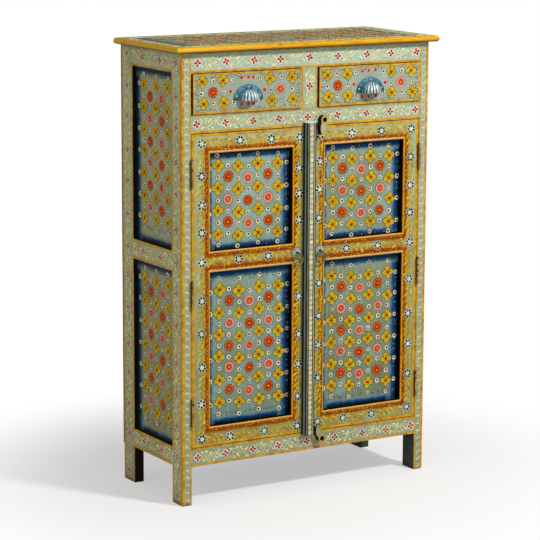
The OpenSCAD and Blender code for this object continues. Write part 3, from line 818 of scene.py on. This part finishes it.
def edge_runs(rect, out=0.0):
    """A rectangle's edges, moved outwards: start, end, fixed place, and whether the edge is level."""
    a0, a1, b0, b1 = rect
    return ((a0, a1, b0 - out, True), (a0, a1, b1 + out, True),
            (b0, b1, a0 - out, False), (b0, b1, a1 + out, False))


def gaps_between(marks, start, end, gap):
    """The stretches of a strip that its flowers leave free."""
    edges = [start] + [v for m in marks for v in (m - gap, m + gap)] + [end]
    return zip(edges[::2], edges[1::2])


# Flowers and dots

def petal_outline(cx, cy, angle, reach, radius):
    """A petal like a square with soft corners, one corner pointing outwards."""
    sides, squareness = 16, 1.45
    found = []
    for i in range(sides):
        a = 2 * math.pi * i / sides
        r = radius * (1 + sway(0.025))
        c, s = (math.copysign(abs(v) ** squareness, v) for v in (math.cos(a), math.sin(a)))
        found.append(turned(cx, cy, reach + r * c, 0.98 * r * s, angle))
    return found


def yellow_flower(face, cx, cy, size=17.5):
    turn, size = sway(0.22), size * (1 + sway(0.05))
    for k in range(4):
        angle = turn + k * math.pi / 2 + sway(0.06)
        own = size * (0.445 + sway(0.012))
        reach = size * 0.57
        slab(face, "outline", petal_outline(cx, cy, angle, reach, own + 1.3), SUNK, 0.22 + 0.01 * k)
        slab(face, "petal_yellow", petal_outline(cx, cy, angle, reach, own), 0.05, 0.40 + 0.01 * k)
        u, v = away(cx, cy, 0.42 * size, angle)
        leaf(face, "petal_shade", u, v, angle, 0.26 * size, 2.4, sway(0.5), 0.5)
    heart = ring_of(cx, cy, size * 0.22, sides=8, turn=turn, lobes=4, depth=0.18)
    slab(face, "heart_brown", heart, 0.1, 0.56)


# outer pigment, inner pigment, size of the inner ring of petals
ROSETTES = {"orange": ("petal_orange", "petal_deep", 0.56), "pink": ("petal_pale", "petal_rose", 0.70)}
OTHER_KIND = {"orange": "pink", "pink": "orange"}


def rosette(face, cx, cy, kind, size=14.4, lobes=9):
    """A scalloped round flower with a second ring of petals and a yellow eye."""
    outer, inner, share = ROSETTES[kind]
    size, turn = size * (1 + sway(0.04)), rng.uniform(0, 0.6)
    slab(face, "outline", ring_of(cx, cy, size + 0.3, None, 4 * lobes, turn, 0.01, lobes, 0.075), SUNK, 0.22)
    slab(face, outer, ring_of(cx, cy, size - 0.9, None, 4 * lobes, turn, 0.01, lobes, 0.075), 0.05, 0.36)
    slab(face, inner, ring_of(cx, cy, size * share, None, 3 * lobes, turn, 0.03, lobes, 0.16), 0.1, 0.46)
    dot(face, "heart_brown", cx, cy, size * 0.27, 0.54, 0.15)
    dot(face, "petal_yellow", cx, cy, size * 0.20, 0.64, 0.2, 8)


def eye_dot(face, cx, cy, size=7.1):
    """A cream dot with a dark rim and a pupil that looks a little aside."""
    size *= 1 + sway(0.08)
    lean = rng.uniform(0, 2 * math.pi)
    dot(face, "outline", cx, cy, size, 0.20, SUNK, 12)
    dot(face, "cream", cx, cy, size - 0.95, 0.36, 0.05, 12)
    dot(face, "pupil", *away(cx, cy, 0.9, lean), size * 0.43, 0.48, 0.1)


def red_flower(face, cx, cy, size=10.0):
    """Four red dabs in an upright cross, each with a pale rim."""
    turn = sway(0.35)
    for k in range(4):
        angle = turn + k * math.pi / 2
        x, y = away(cx, cy, 0.6 * size, angle)
        dot(face, "cream", x, y, 0.64 * size, 0.24 + 0.01 * k, SUNK)
        slab(face, "red", ring_of(x, y, 0.40 * size, 0.35 * size, 9, angle, 0.08), 0.05, 0.42)
    dot(face, "outline", cx, cy, 0.14 * size, 0.46, 0.1, 6)


def red_dot(face, u, v, radius):
    """A red dot that pales towards its rim."""
    dot(face, "petal_pale", u, v, radius + 1.7, 0.22, SUNK, 10)
    dot(face, "petal_rose", u, v, radius + 0.4, 0.36, 0.05, 10)
    dot(face, "red", u, v, radius * 0.6, 0.42, 0.1, 8)


def star_flower(face, cx, cy, size=12.6):
    """Cool cream petals, each with a dark teal dot, round a pale heart."""
    petals, turn = rng.choice((6, 7, 7)), rng.uniform(0, 1.0)
    slab(face, "cream_cool", ring_of(cx, cy, size, None, 4 * petals, turn, 0.02, petals, 0.10), SUNK, 0.28)
    for k in range(petals):
        angle = turn + 2 * math.pi * k / petals
        x, y = away(cx, cy, 0.70 * size, angle)
        shade = rng.choice(("teal", "teal", "pupil"))
        slab(face, shade, ring_of(x, y, 0.29 * size, 0.27 * size, 9, angle, 0.08), 0.05, 0.44)
    dot(face, "cream_cool", cx, cy, 0.42 * size, 0.40, 0.0, 10)
    dot(face, "blush", cx, cy, 0.20 * size, 0.48, 0.1)


def lattice(face, field, columns, rows, first="orange", zigzag=(0,), edge_eyes=(0.46, 0.47), scribbled=True):
    """Flowers on a grid, rosettes between them and eyes half way.

    field holds the outermost flowers' places; edge_eyes is how far eyes stand above and below it,
    as a share of the row pitch; zigzag raises or lowers the columns in turn.
    """
    side_eyes = 0.43
    a0, a1, b0, b1 = field
    du, dv = (a1 - a0) / (columns - 1), (b1 - b0) / (rows - 1)
    for j in range(rows):
        v = b1 - j * dv
        for i in range(columns):
            u, w = a0 + i * du, v + zigzag[i % len(zigzag)]
            yellow_flower(face, u + sway(1.6), w + sway(2.0))
            if i < columns - 1:
                eye_dot(face, u + du / 2 + sway(1.2), w + sway(1.6))
                if j < rows - 1:
                    kind = first if (i + j) % 2 == 0 else OTHER_KIND[first]
                    rosette(face, u + du / 2 + sway(1.2), w - dv / 2 + sway(1.6), kind)
            if j < rows - 1:
                eye_dot(face, u + sway(1.2), w - dv / 2 + sway(1.6))
            if j == 0:
                eye_dot(face, u + sway(3), w + dv * edge_eyes[0] + sway(1.2))
            if j == rows - 1:
                eye_dot(face, u + sway(3), w - dv * edge_eyes[1] + sway(1.2))
        eye_dot(face, a0 - du * side_eyes + sway(1), v + sway(2))
        eye_dot(face, a1 + du * side_eyes + sway(1), v + sway(2))
    if scribbled:
        scribbles(face, (a0 - du * 0.42, a1 + du * 0.42, b0 - dv * edge_eyes[1], b1 + dv * edge_eyes[0]))


def scribbles(face, rect):
    """Thin dark curls all round a field, along its blue edges."""
    lower, upper, *upright = edge_runs(rect)
    for start, end, fixed, along in (upper, lower, *upright):
        place = laid(along)
        s = start
        while s < end:
            u, v = place(s, fixed + sway(2.5))
            way = either_way()
            curl(face, "scribble", u, v, 5.8 + sway(1.2), any_angle(), way * 5.0, 0.75, 0.55, 0.22)
            if rng.random() < 0.4:
                leaf(face, "vine", u + sway(4), v + sway(4), rng.uniform(0, 3.1), 7.0, 1.2, 0.8, 0.2)
            s += 14.0 + sway(4)


# Scrollwork

# place along a bay, place across it, lean, length, width, bend: for a bay 1 long and 2 wide
SCROLL_DABS = (
    (0.12, 0.62, -0.7, 14, 5.4, 1.3),
    (0.46, -0.42, -0.9, 15, 6.2, 1.2),
    (0.58, 0.70, 0.3, 12, 4.6, 0.9),
    (0.36, 0.78, 0.15, 10, 3.2, 0.3),
    (0.24, -0.74, -0.2, 12, 4.2, 0.8),
    (0.86, -0.76, 0.1, 11, 3.4, 0.4),
    (0.92, 0.30, 0.9, 13, 4.8, -1.1),
    (0.04, -0.50, 0.5, 10, 4.0, 0.8),
)
SHORTEST_BAY, BAY_LENGTH, STEM_POINTS = 14, 58, 12


def vine(face, place, base, span, middle, swing):
    """A thin stem that winds once from side to side."""
    path, widths = [], []
    for i in range(STEM_POINTS + 1):
        f = i / STEM_POINTS
        path.append(place(base + f * span, middle + swing * math.sin(2 * math.pi * f)))
        widths.append(0.45 + 0.4 * math.sin(math.pi * f))
    stroke(face, "scroll", path, widths, 0.3)


def scroll_bay(face, start, end, middle, reach, along, crowd):
    """A winding vine with a spiral in each bend, commas, edge dabs and thin lines between two flowers."""
    long = end - start
    if long < SHORTEST_BAY:
        return
    place = laid(along)
    bays = max(1, round(long / BAY_LENGTH))
    for bay in range(bays):
        flip = either_way()
        base, span = start + long * bay / bays, long / bays
        vine(face, place, base, span, middle, flip * 0.56 * reach)
        for f, way in ((0.27, -1), (0.76, 1)):
            u, v = place(base + f * span + sway(1.5), middle + flip * way * 0.12 * reach)
            begin = any_angle()
            curl(face, "scroll", u, v, 0.50 * reach + sway(0.6), begin, way * flip * 5.6, 1.15, 0.72, 0.34)
            curl(face, "vine_dark", u + 0.9, v - 0.9, 0.56 * reach, begin, way * flip * 5.0, 0.4, 0.6, 0.2)
        for s, t, lean, length, wide, bend in SCROLL_DABS:
            if s * span > span - 3:
                continue
            u, v = place(base + s * span + sway(2), middle + flip * t * reach + sway(1.2))
            angle = (lean if along else math.pi / 2 - lean) * flip + sway(0.35)
            leaf(face, "scroll", u, v, angle, length + sway(2), wide + sway(0.8), bend * flip)
        for _ in range(int(3 * crowd)):
            u, v = place(base + rng.uniform(0.05, 0.95) * span, middle + sway(0.7) * reach)
            angle = rng.choice((0.8, -0.8)) + sway(0.4)
            leaf(face, "vine_dark", u, v, angle, 12 + sway(4), 1.0, sway(0.8), 0.2)
        for _ in range(int(5 * crowd)):
            u, v = place(base + rng.uniform(0.03, 0.97) * span, middle + sway(0.88) * reach)
            leaf(face, "scroll", u, v, rng.uniform(-1.5, 1.5), 8 + sway(3), 3.0 + sway(1.0), sway(1.4), 0.33)


def flower_strip(face, marks, start, end, middle, reach, along=True, crowd=1.0, gap=11.0):
    """Red flowers at the marks, with scrollwork between them."""
    place = laid(along)
    for m in marks:
        u, v = place(m, middle)
        red_flower(face, u + sway(0.8), v + sway(0.8))
    for a, b in gaps_between(sorted(marks), start, end, gap):
        scroll_bay(face, a, b, middle, reach, along, crowd)


def hook_strip(face, middle, start, end, way):
    """Cream hooks one above the other, each with a teal shade and a thin spiral in its bend."""
    v = start
    while v < end:
        u = middle - 0.4 + sway(0.5)
        radius, begin = 5.4 + sway(0.5), way * math.pi * 0.95
        curl(face, "scroll", u, v, radius, begin, -way * (3.3 + sway(0.3)), 1.5, 0.12, 0.34)
        curl(face, "vine", u - 0.6, v - way * 1.5, 3.2, rng.uniform(0, 6), 5.0, 0.5, 0.5, 0.22)
        slab(face, "shade_blue", ring_of(u + 0.5, v - 1.5, 2.6, 3.6, 8, sway(0.5), 0.12), SUNK, 0.18)
        if rng.random() < 0.6:
            leaf(face, "scroll", middle - 3.5 + sway(1), v + 9 + sway(1.5), 0.5 + sway(0.5), 5.5, 1.8, 0.6)
        v += 20.4 + sway(1.4)


# length, width and bend of the leaves that follow each other along a door frame
FROND_LEAVES = ((29, 4.6, 1.0), (16, 6.2, -1.2), (24, 4.2, 1.3), (13, 5.8, -0.8))


def frond(face, start, end, middle, reach, along):
    """Yellow leaves and arcs that all lean one way, with curls, dabs and thin dark lines between."""
    place = laid(along)
    lean, spread = (-0.65, 0.45) if along else (1.1, 0.2)
    leaf_tones = ("leaf_ochre", "leaf_ochre", "leaf_pale", "leaf_gold" if along else "leaf_ochre")
    s, flip, k = start + 2, either_way(), rng.randrange(4)
    while s < end - 2:
        long, wide, bend = FROND_LEAVES[k % 4]
        u, v = place(s, middle + flip * reach * (0.42 + sway(0.2)))
        tilt = lean + spread * flip + sway(0.3)
        tone = rng.choice(leaf_tones)
        leaf(face, tone, u, v, tilt, long + sway(3), wide + sway(0.9), bend * flip, 0.34)
        u, v = place(s + 3, middle - flip * reach * (0.55 + sway(0.25)))
        if k % 3 == 0:
            slab(face, "leaf_ochre", ring_of(u, v, 4.2, 3.2, 9, sway(1.0), 0.1), SUNK, 0.33)
        elif k % 3 == 1:
            curl(face, "leaf_ochre", u, v, 6.2, any_angle(), flip * 4.6, 1.0, 0.6, 0.28)
        else:
            leaf(face, "leaf_gold", u, v, lean + sway(0.6), 11 + sway(3), 3.0, sway(1.4), 0.3)
        u, v = place(s + 1, middle + sway(0.8) * reach)
        curl(face, "vine_dark", u, v, 6.0 + sway(1.5), any_angle(), -flip * 3.8, 0.5, 0.4, 0.2)
        flip, k = -flip, k + 1
        s += 8.0 + sway(1.8)


def bead_dabs(face, rect, out=7.0, pitch=12.0):
    """Gold commas and small arcs on the rust round one opening."""
    for start, end, fixed, along in edge_runs(rect, out):
        place = laid(along)
        s = start + pitch / 2
        while s < end:
            u, v = place(s, fixed + sway(1.6))
            way = either_way()
            angle = (0.0 if along else math.pi / 2) + way * 0.35 + sway(0.2)
            leaf(face, "leaf_gold", u, v, angle, 11.0 + sway(3), 3.0 + sway(0.8), way * 1.0, 0.32)
            s += pitch + sway(3)


# Door panels and side panels

DOOR_FIELDS = {
    "left_door": ((-259, -78, 259, 558), (-262.6, -82, 706, 885)),
    "right_door": ((88, 266, 263, 562), (88, 268, 705, 883)),
}
COLUMN_ZIGZAG = (4, -3, 1, -2)
for body, (lower_field, upper_field) in DOOR_FIELDS.items():
    panel = Face(body, (0, PANEL_Y, 0))
    lattice(panel, lower_field, 4, 6, "orange", COLUMN_ZIGZAG, (0.56, 0.52))
    lattice(panel, upper_field, 4, 4, "orange", COLUMN_ZIGZAG)

SIDE_FIELD_Y, SIDE_FIELD_HEIGHTS = (72, -55), ((735, 1086), (216, 571))
for sign, kind in ((-1, "orange"), (1, "pink")):
    panel = Face("cabinet", (sign * SIDE_PANEL_X, 0, 0), (0, sign, 0))
    a0, a1 = sorted(sign * y for y in SIDE_FIELD_Y)
    for b0, b1 in SIDE_FIELD_HEIGHTS:
        lattice(panel, (a0, a1, b0, b1), 3, 7, kind)


# Drawer fronts

# flowers and eyes along each row, rosettes, and single red dots
DRAWER_MARKS = {
    "left_drawer": {
        "flowers": ((-320, -260, -120, -54), (-316, -257, -115, -50)), "middle": (-322, -257, -120, -53),
        "eyes": ((-289, -232, -148, -87), (-288, -228, -146, -85)),
        "rosettes": ((-289, "orange"), (-89, "pink")), "red": (-238, -137), "threes": (-206, -185, -170)},
    "right_drawer": {
        "flowers": ((57, 118, 256, 320), (59, 119, 258, 324)), "middle": (55, 118, 255, 324),
        "eyes": ((85, 143, 231, 289), (86, 145, 232, 291)),
        "rosettes": ((88, "orange"), (286, "pink")), "red": (138, 237), "threes": (165, 185, 207)},
}
# each outer row's height, and how far its dots in threes stand above it
OUTER_ROWS, MIDDLE_ROW = ((1109, 6), (1052, -5)), 1080

for body, marks in DRAWER_MARKS.items():
    front, node = Face(body, (0, DRAWER_Y, 0)), f"{body}_front"
    x0, x1, z0, z1 = low(node, "x"), high(node, "x"), low(node, "z") + 0.4, high(node, "z") - 0.4
    frame_line(front, (x0 + 2.2, x1 - 0.4, z0, z1), 2.6)
    # painted shade: a dark line down the left edge of the drawer face stands for the shadowed gap
    line(front, "outline", (x0 + 1.0, z0), (x0 + 1.0, z1), 0.9, 0.1)
    for (row, threes_up), flowers, eyes in zip(OUTER_ROWS, marks["flowers"], marks["eyes"]):
        for x in flowers:
            yellow_flower(front, x + sway(1), row + sway(1.5), 16.5)
        for x in eyes:
            eye_dot(front, x + sway(1), row + 2 + sway(1))
        for x in marks["threes"]:
            red_dot(front, x + sway(1), row + threes_up + sway(1), 4.2)
    for x in marks["middle"]:
        eye_dot(front, x + sway(1), MIDDLE_ROW - 1 + sway(1.5))
    for x, kind in marks["rosettes"]:
        rosette(front, x + sway(1), MIDDLE_ROW + sway(1), kind)
    for x in marks["red"]:
        red_dot(front, x, MIDDLE_ROW + 1, 4.6)
    scribbles(front, (x0 + 12, x1 - 12, low(node, "z") + 7, high(node, "z") - 7))


# Front frame

front = Face("cabinet", (0, FRONT_Y, 0))
TOP_MARKS = (-332, -249, -166, -87, 3, 90, 180, 256, 340)
MIDDLE_MARKS = (-334, -250, -168, -90, -3, 90, 181, 257, 338)
# flowers, height of the middle line and reach of each rail's strip
RAIL_STRIPS = ((TOP_MARKS, 1158, 19), (MIDDLE_MARKS, 1002, 17), (TOP_MARKS, 127, 17))
RAIL_SPAN = (-345, 348)
for marks, height, reach in RAIL_STRIPS:
    flower_strip(front, marks, *RAIL_SPAN, height, reach)
DIVIDER_MARK, DIVIDER_SPAN, DIVIDER_X = 1082, (1036, 1124), 3
flower_strip(front, (DIVIDER_MARK,), *DIVIDER_SPAN, DIVIDER_X, 16, along=False)

HOOKS_X = 363.3
LINE_FOOT, LINE_HEAD = 0.8, FRAME_TOP - 0.5
for sign in (-1, 1):
    for x0, x1 in ((SIDE_X - 7, SIDE_X), (LEG_INSIDE, LEG_INSIDE + 4.5)):
        x = sign * (x0 + x1) / 2
        line(front, "line_yellow", (x, LINE_FOOT), (x, LINE_HEAD), (x1 - x0) / 2 - 0.2, 0.25)
    hook_strip(front, sign * HOOKS_X, 12, 1176, -sign)
for rail in ("top", "mid", "bottom"):
    for z in (low(f"front_{rail}_rail", "z") + 3.0, high(f"front_{rail}_rail", "z") - 3.0):
        half = 1.6 if z > FRAME_TOP - 5 or abs(z - MIDDLE_RAIL_TOP) < 5 else 2.7
        line(front, "line_yellow", (-LEG_INSIDE + 0.4, z), (LEG_INSIDE - 0.4, z), half, 0.3, 0.32)
for x in (low("drawer_divider", "x") + 1.9, high("drawer_divider", "x") - 1.9):
    line(front, "line_yellow", (x, MIDDLE_RAIL_TOP), (x, low("front_top_rail", "z")), 1.7, 0.15, 0.34)
CRACK = ((352, 1162), (357, 1160.5), (362, 1161.5), (368, 1159.5), (374, 1160))
stroke(front, "outline", CRACK, [0.35] * len(CRACK), 0.4)


# Side frames

SIDE_MARKS = (23, 128, 210, 296, 376, 477, 563, 643, 728, 820, 903, 993, 1072, 1157)
# height of the middle line and reach of each side rail's strip
SIDE_BARS = ((1157, 19), (644.5, 19), (127, 18))
STILE_FRONT_Y, STILE_REAR_Y, BAR_FLOWERS = -121, 148, (62, -34)
SIDE_CROWD, SIDE_GAP = 1.8, 12
STILE_SPAN = (6, 1178)
APRON_Z = low("left_side_bottom_rail", "z")
for sign in (-1, 1):
    side = Face("cabinet", (sign * SIDE_X, 0, 0), (0, sign, 0))
    rear_marks = [m + 4 for m in SIDE_MARKS]
    for marks, y, reach in ((SIDE_MARKS, STILE_FRONT_Y, 19), (rear_marks, STILE_REAR_Y, 22)):
        flower_strip(side, marks, *STILE_SPAN, sign * y, reach, False, SIDE_CROWD, SIDE_GAP)
    a0, a1 = sorted(sign * y for y in SIDE_RECTS[0][:2])
    bar_marks = sorted(sign * y for y in BAR_FLOWERS)
    for z, reach in SIDE_BARS:
        flower_strip(side, bar_marks, a0 - 4, a1 + 5, z, reach, True, SIDE_CROWD, SIDE_GAP)
    for _, _, b0, b1 in SIDE_RECTS:
        frame_line(side, (a0 - 5.4, a1 + 5.4, b0 - 5.4, b1 + 5.4), 2.7)
    for y, half in ((FRONT_Y + 3.8, 3.7), (174.0, 2.4)):
        line(side, "line_yellow", (sign * y, LINE_FOOT), (sign * y, LINE_HEAD), half, 0.2)
    line(side, "line_yellow", (a0 - 5, APRON_Z + 2.6), (a1 + 5, APRON_Z + 2.6), 2.3, 0.2)
    for edge in (a0 - 2.6, a1 + 2.6):
        line(side, "line_yellow", (edge, LINE_FOOT), (edge, APRON_Z + 0.5), 2.3, 0.2)


# Door frames

# star flowers: middle line and heights on each stile, height and places on each rail
DOOR_MARKS = {
    "left_door": {"hinge": (-321, (174, 269, 366, 456, 543, 642, 719, 793, 867, 951)),
                  "close": (-27, (173, 255, 344, 425, 527, 730, 802, 870, 951)),
                  "bars": ((173, (-236, -131)), (643, (-210, -122)), (952, (-206, -112)))},
    "right_door": {"hinge": (325, (183, 275, 361, 443, 540, 641, 725, 799, 875, 951)),
                   "close": (36, (176, 297, 388, 468, 556, 732, 806, 882, 952)),
                   "bars": ((177, (116, 209)), (642, (123, 221)), (952, (134, 231)))},
}
STAR_GAP = 14


def starred_run(face, spots, start, end, middle, reach, along):
    """Star flowers at the spots, leaves between them."""
    place = laid(along)
    for spot in spots:
        u, v = place(spot, middle)
        star_flower(face, u + sway(1.5), v + sway(1.5))
    for a, b in gaps_between(spots, start, end, STAR_GAP):
        if b - a > 8:
            frond(face, a, b, middle, reach, along)


for name in SIDES:
    body = f"{name}_door"
    marks, door = DOOR_MARKS[body], Face(body, (0, FRONT_Y, 0))
    stiles = (f"{body}_hinge_stile", f"{body}_closing_stile")
    x0, x1 = min(low(s, "x") for s in stiles), max(high(s, "x") for s in stiles)
    z0, z1 = low(stiles[0], "z"), high(stiles[0], "z")
    frame_line(door, (x0 + 0.3, x1 - 0.3, z0 + 0.4, z1 - 0.4), 3.4)
    for rect in DOOR_RECTS[name]:
        bead_dabs(door, rect)
    for key, reach in (("hinge", 13), ("close", 11)):
        middle, spots = marks[key]
        starred_run(door, spots, z0 + 12, z1 - 10, middle, reach, False)
    a0, a1 = sorted((marks["hinge"][0], marks["close"][0]))
    for row, spots in marks["bars"]:
        starred_run(door, spots, a0 + STAR_GAP, a1 - STAR_GAP, row, 13, True)


# Cover strip: one row of cream pearls

strip = Face("left_door", (0, STRIP_Y, 0))
PEARL_HALF_WIDTH, PEARL_HALF_HEIGHT, PEARL_PITCH = 5.3, 6.1, 13.6
z = low("cover_strip", "z") + 9
while z < STRIP_TOP - 6:
    tall = PEARL_HALF_HEIGHT + sway(0.3)
    rim = ring_of(0.2, z, PEARL_HALF_WIDTH + 0.4, tall + 0.8, 14, 0.0, 0.02, 4, -0.05)
    slab(strip, "bead_edge", rim, SUNK, 0.16)
    slab(strip, "pearl", ring_of(0.2, z, PEARL_HALF_WIDTH, tall, 14, 0.0, 0.02, 4, -0.05), 0.0, 0.34)
    slab(strip, "pearl", ring_of(0.1, z + 0.4, 3.1, tall * 0.62, 12, 0.0, 0.04), 0.2, 0.56)
    if rng.random() < 0.7:
        leaf(strip, "bead_edge", 0.6 + sway(1.0), z - 0.5, math.pi / 2 + sway(0.3), 4.6, 1.3, 0.4, 0.6)
    z += PEARL_PITCH + sway(0.4)


# Turning catches: an ochre edge round each leaf and its eye

# middle of the pivot, middle of the eye
CATCHES = {
    "top_turning_catch": ((34.5, 962.0), (40.2, 994.0)),
    "bottom_turning_catch": ((26.3, 160.0), (39.8, 133.5)),
}
LEAF_HALF_WIDTH, LEAF_TAIL, EDGE_INSET = 9.7, 8.5, 1.4
EYE_RADIUS, EYE_HOLE_RADIUS = 10.7, 6.2


def catch_edge(body, pivot, eye):
    """Repeats the source's leaf outline, drawn just inside its edge."""
    face = Face(body, (0, CATCH_Y, 0))
    dx, dz = eye[0] - pivot[0], eye[1] - pivot[1]
    long = math.hypot(dx, dz)
    dx, dz = dx / long, dz / long
    for way in (-1, 1):
        path = []
        for k in range(13):
            f = k / 14
            swell = math.sin(math.radians(min(90.0, f * 140.0))) ** 0.8 * (1 - 0.4 * max(0.0, f - 0.6))
            wide = max(LEAF_HALF_WIDTH * swell - EDGE_INSET, 0.2)
            s = f * (0.8 * long + LEAF_TAIL) - LEAF_TAIL
            path.append((pivot[0] + dx * s - way * dz * wide, pivot[1] + dz * s + way * dx * wide))
        stroke(face, "line_yellow", path, [1.1] * len(path), 0.3)
    turn = math.atan2(dz, dx)
    count = 22
    for radius, width, sweep in ((EYE_RADIUS - 1.2, 1.1, 4.6), (EYE_HOLE_RADIUS + 1.1, 0.9, ABOUT_A_TURN)):
        path = [away(*eye, radius, turn - sweep / 2 + sweep * k / count) for k in range(count)]
        stroke(face, "line_yellow", path, [width] * len(path), 0.32)


for body, (pivot, eye) in CATCHES.items():
    catch_edge(body, pivot, eye)


# The top

TOP_FLOWERS = (-300, 300, -92, 97)
LONG_MARKS, LONG_SPAN, LONG_STRIPS_Y = range(-375, 380, 88), (-384, 384), (-151, 152)
SHORT_MARKS, SHORT_SPAN, SHORT_STRIPS_X = (-105, -20, 65), (-138, 138), (-380, 366)

board = Face("cabinet", (0, 0, TOP_Z), (1, 0, 0), (0, 1, 0))
lattice(board, TOP_FLOWERS, 11, 4, "pink", (0,), (0.4, 0.4), False)
for y in LONG_STRIPS_Y:
    flower_strip(board, LONG_MARKS, *LONG_SPAN, y, 14)
for x in SHORT_STRIPS_X:
    flower_strip(board, SHORT_MARKS, *SHORT_SPAN, x, 13, along=False)


# Pigments: colour, and second colour for its unevenness

PIGMENTS = {
    "outline": ((58, 46, 10), (34, 30, 14)),
    "scribble": ((48, 62, 62), (76, 88, 80)),
    "petal_yellow": ((206, 172, 22), (184, 142, 14)),
    "petal_shade": ((150, 96, 8), (128, 76, 6)),
    "heart_brown": ((126, 34, 14), (88, 26, 12)),
    "petal_orange": ((202, 84, 18), (180, 66, 16)),
    "petal_deep": ((166, 44, 6), (144, 34, 8)),
    "petal_pale": ((226, 172, 148), (214, 146, 118)),
    "petal_rose": ((202, 78, 66), (184, 58, 46)),
    "cream": ((226, 218, 192), (210, 198, 158)),
    "cream_cool": ((216, 218, 194), (190, 192, 158)),
    "pearl": ((226, 208, 164), (196, 174, 126)),
    "bead_edge": ((110, 108, 74), (84, 78, 50)),
    "blush": ((232, 204, 174), (220, 186, 150)),
    "pupil": ((8, 40, 46), (6, 22, 30)),
    "teal": ((8, 82, 88), (4, 48, 58)),
    "shade_blue": ((116, 156, 166), (132, 160, 150)),
    "red": ((172, 28, 32), (140, 22, 24)),
    "scroll": ((226, 218, 158), (204, 196, 122)),
    "vine": ((184, 192, 140), (150, 158, 108)),
    "vine_dark": ((108, 110, 68), (84, 82, 46)),
    "leaf_ochre": ((204, 172, 14), (180, 142, 12)),
    "leaf_pale": ((214, 190, 70), (190, 160, 44)),
    "leaf_gold": ((206, 146, 16), (176, 108, 8)),
    "line_yellow": ((210, 160, 28), (178, 118, 12)),
}


def pigment(name, main, second):
    t = Tree(f"paint_{name}")
    patches = t.noise(75.0, 3.0, 0.6)
    t.colour = t.mix(t.steps(patches, 0.36, 0.68), main, second)
    t.lay(GRIME, t.patches(9.0, 0.46, 0.72), 0.22)
    t.bump(t.noise(420.0, 3.0, 0.6), 0.0002, 0.4)
    return t.finish(t.add(0.36, t.mul(patches, 0.35)))


def build_paint():
    """One mesh for each pigment on each body."""
    mats = {name: pigment(name, *colours) for name, colours in PIGMENTS.items()}
    for (body, colour), (points, faces) in sorted(PAINT.items()):
        mesh = bpy.data.meshes.new(f"{body}_{colour}")
        mesh.from_pydata([tuple(p) for p in points], [], faces)
        mesh.materials.append(mats[colour])
        mesh.update()
        piece = bpy.data.objects.new(f"{body}_{colour}", mesh)
        bpy.context.scene.collection.objects.link(piece)
        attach(piece, body)


build_paint()


# Floor

def make_floor():
    """Pale floor that shows as white away from the cabinet and keeps its shadow near it."""
    bpy.ops.mesh.primitive_plane_add(size=40.0, location=(0.0, 0.0, 0.0))
    floor = bpy.context.object
    floor.name = "Floor"
    t = Tree("floor_paint")
    t.colour = t.mix(t.noise(3.0, 2.0), (244, 244, 243), (248, 248, 247))
    t.finish(0.9, specular=0.1)
    away_from_it = t.math("SQRT", t.add(t.mul(t.x, t.x), t.mul(t.y, t.y)))
    share = t.add(0.45, t.mul(0.55, t.steps(away_from_it, 0.45, 1.1)))
    glow = shining(t.t, "ShaderNodeEmission", WHITE, 1.0)
    mixed = blend(t.t, t.mul(seen_directly(t.t), share), t.shader.outputs[0], glow)
    t.t.links.new(mixed, t.out.inputs["Surface"])
    floor.data.materials.append(t.mat)


make_floor()
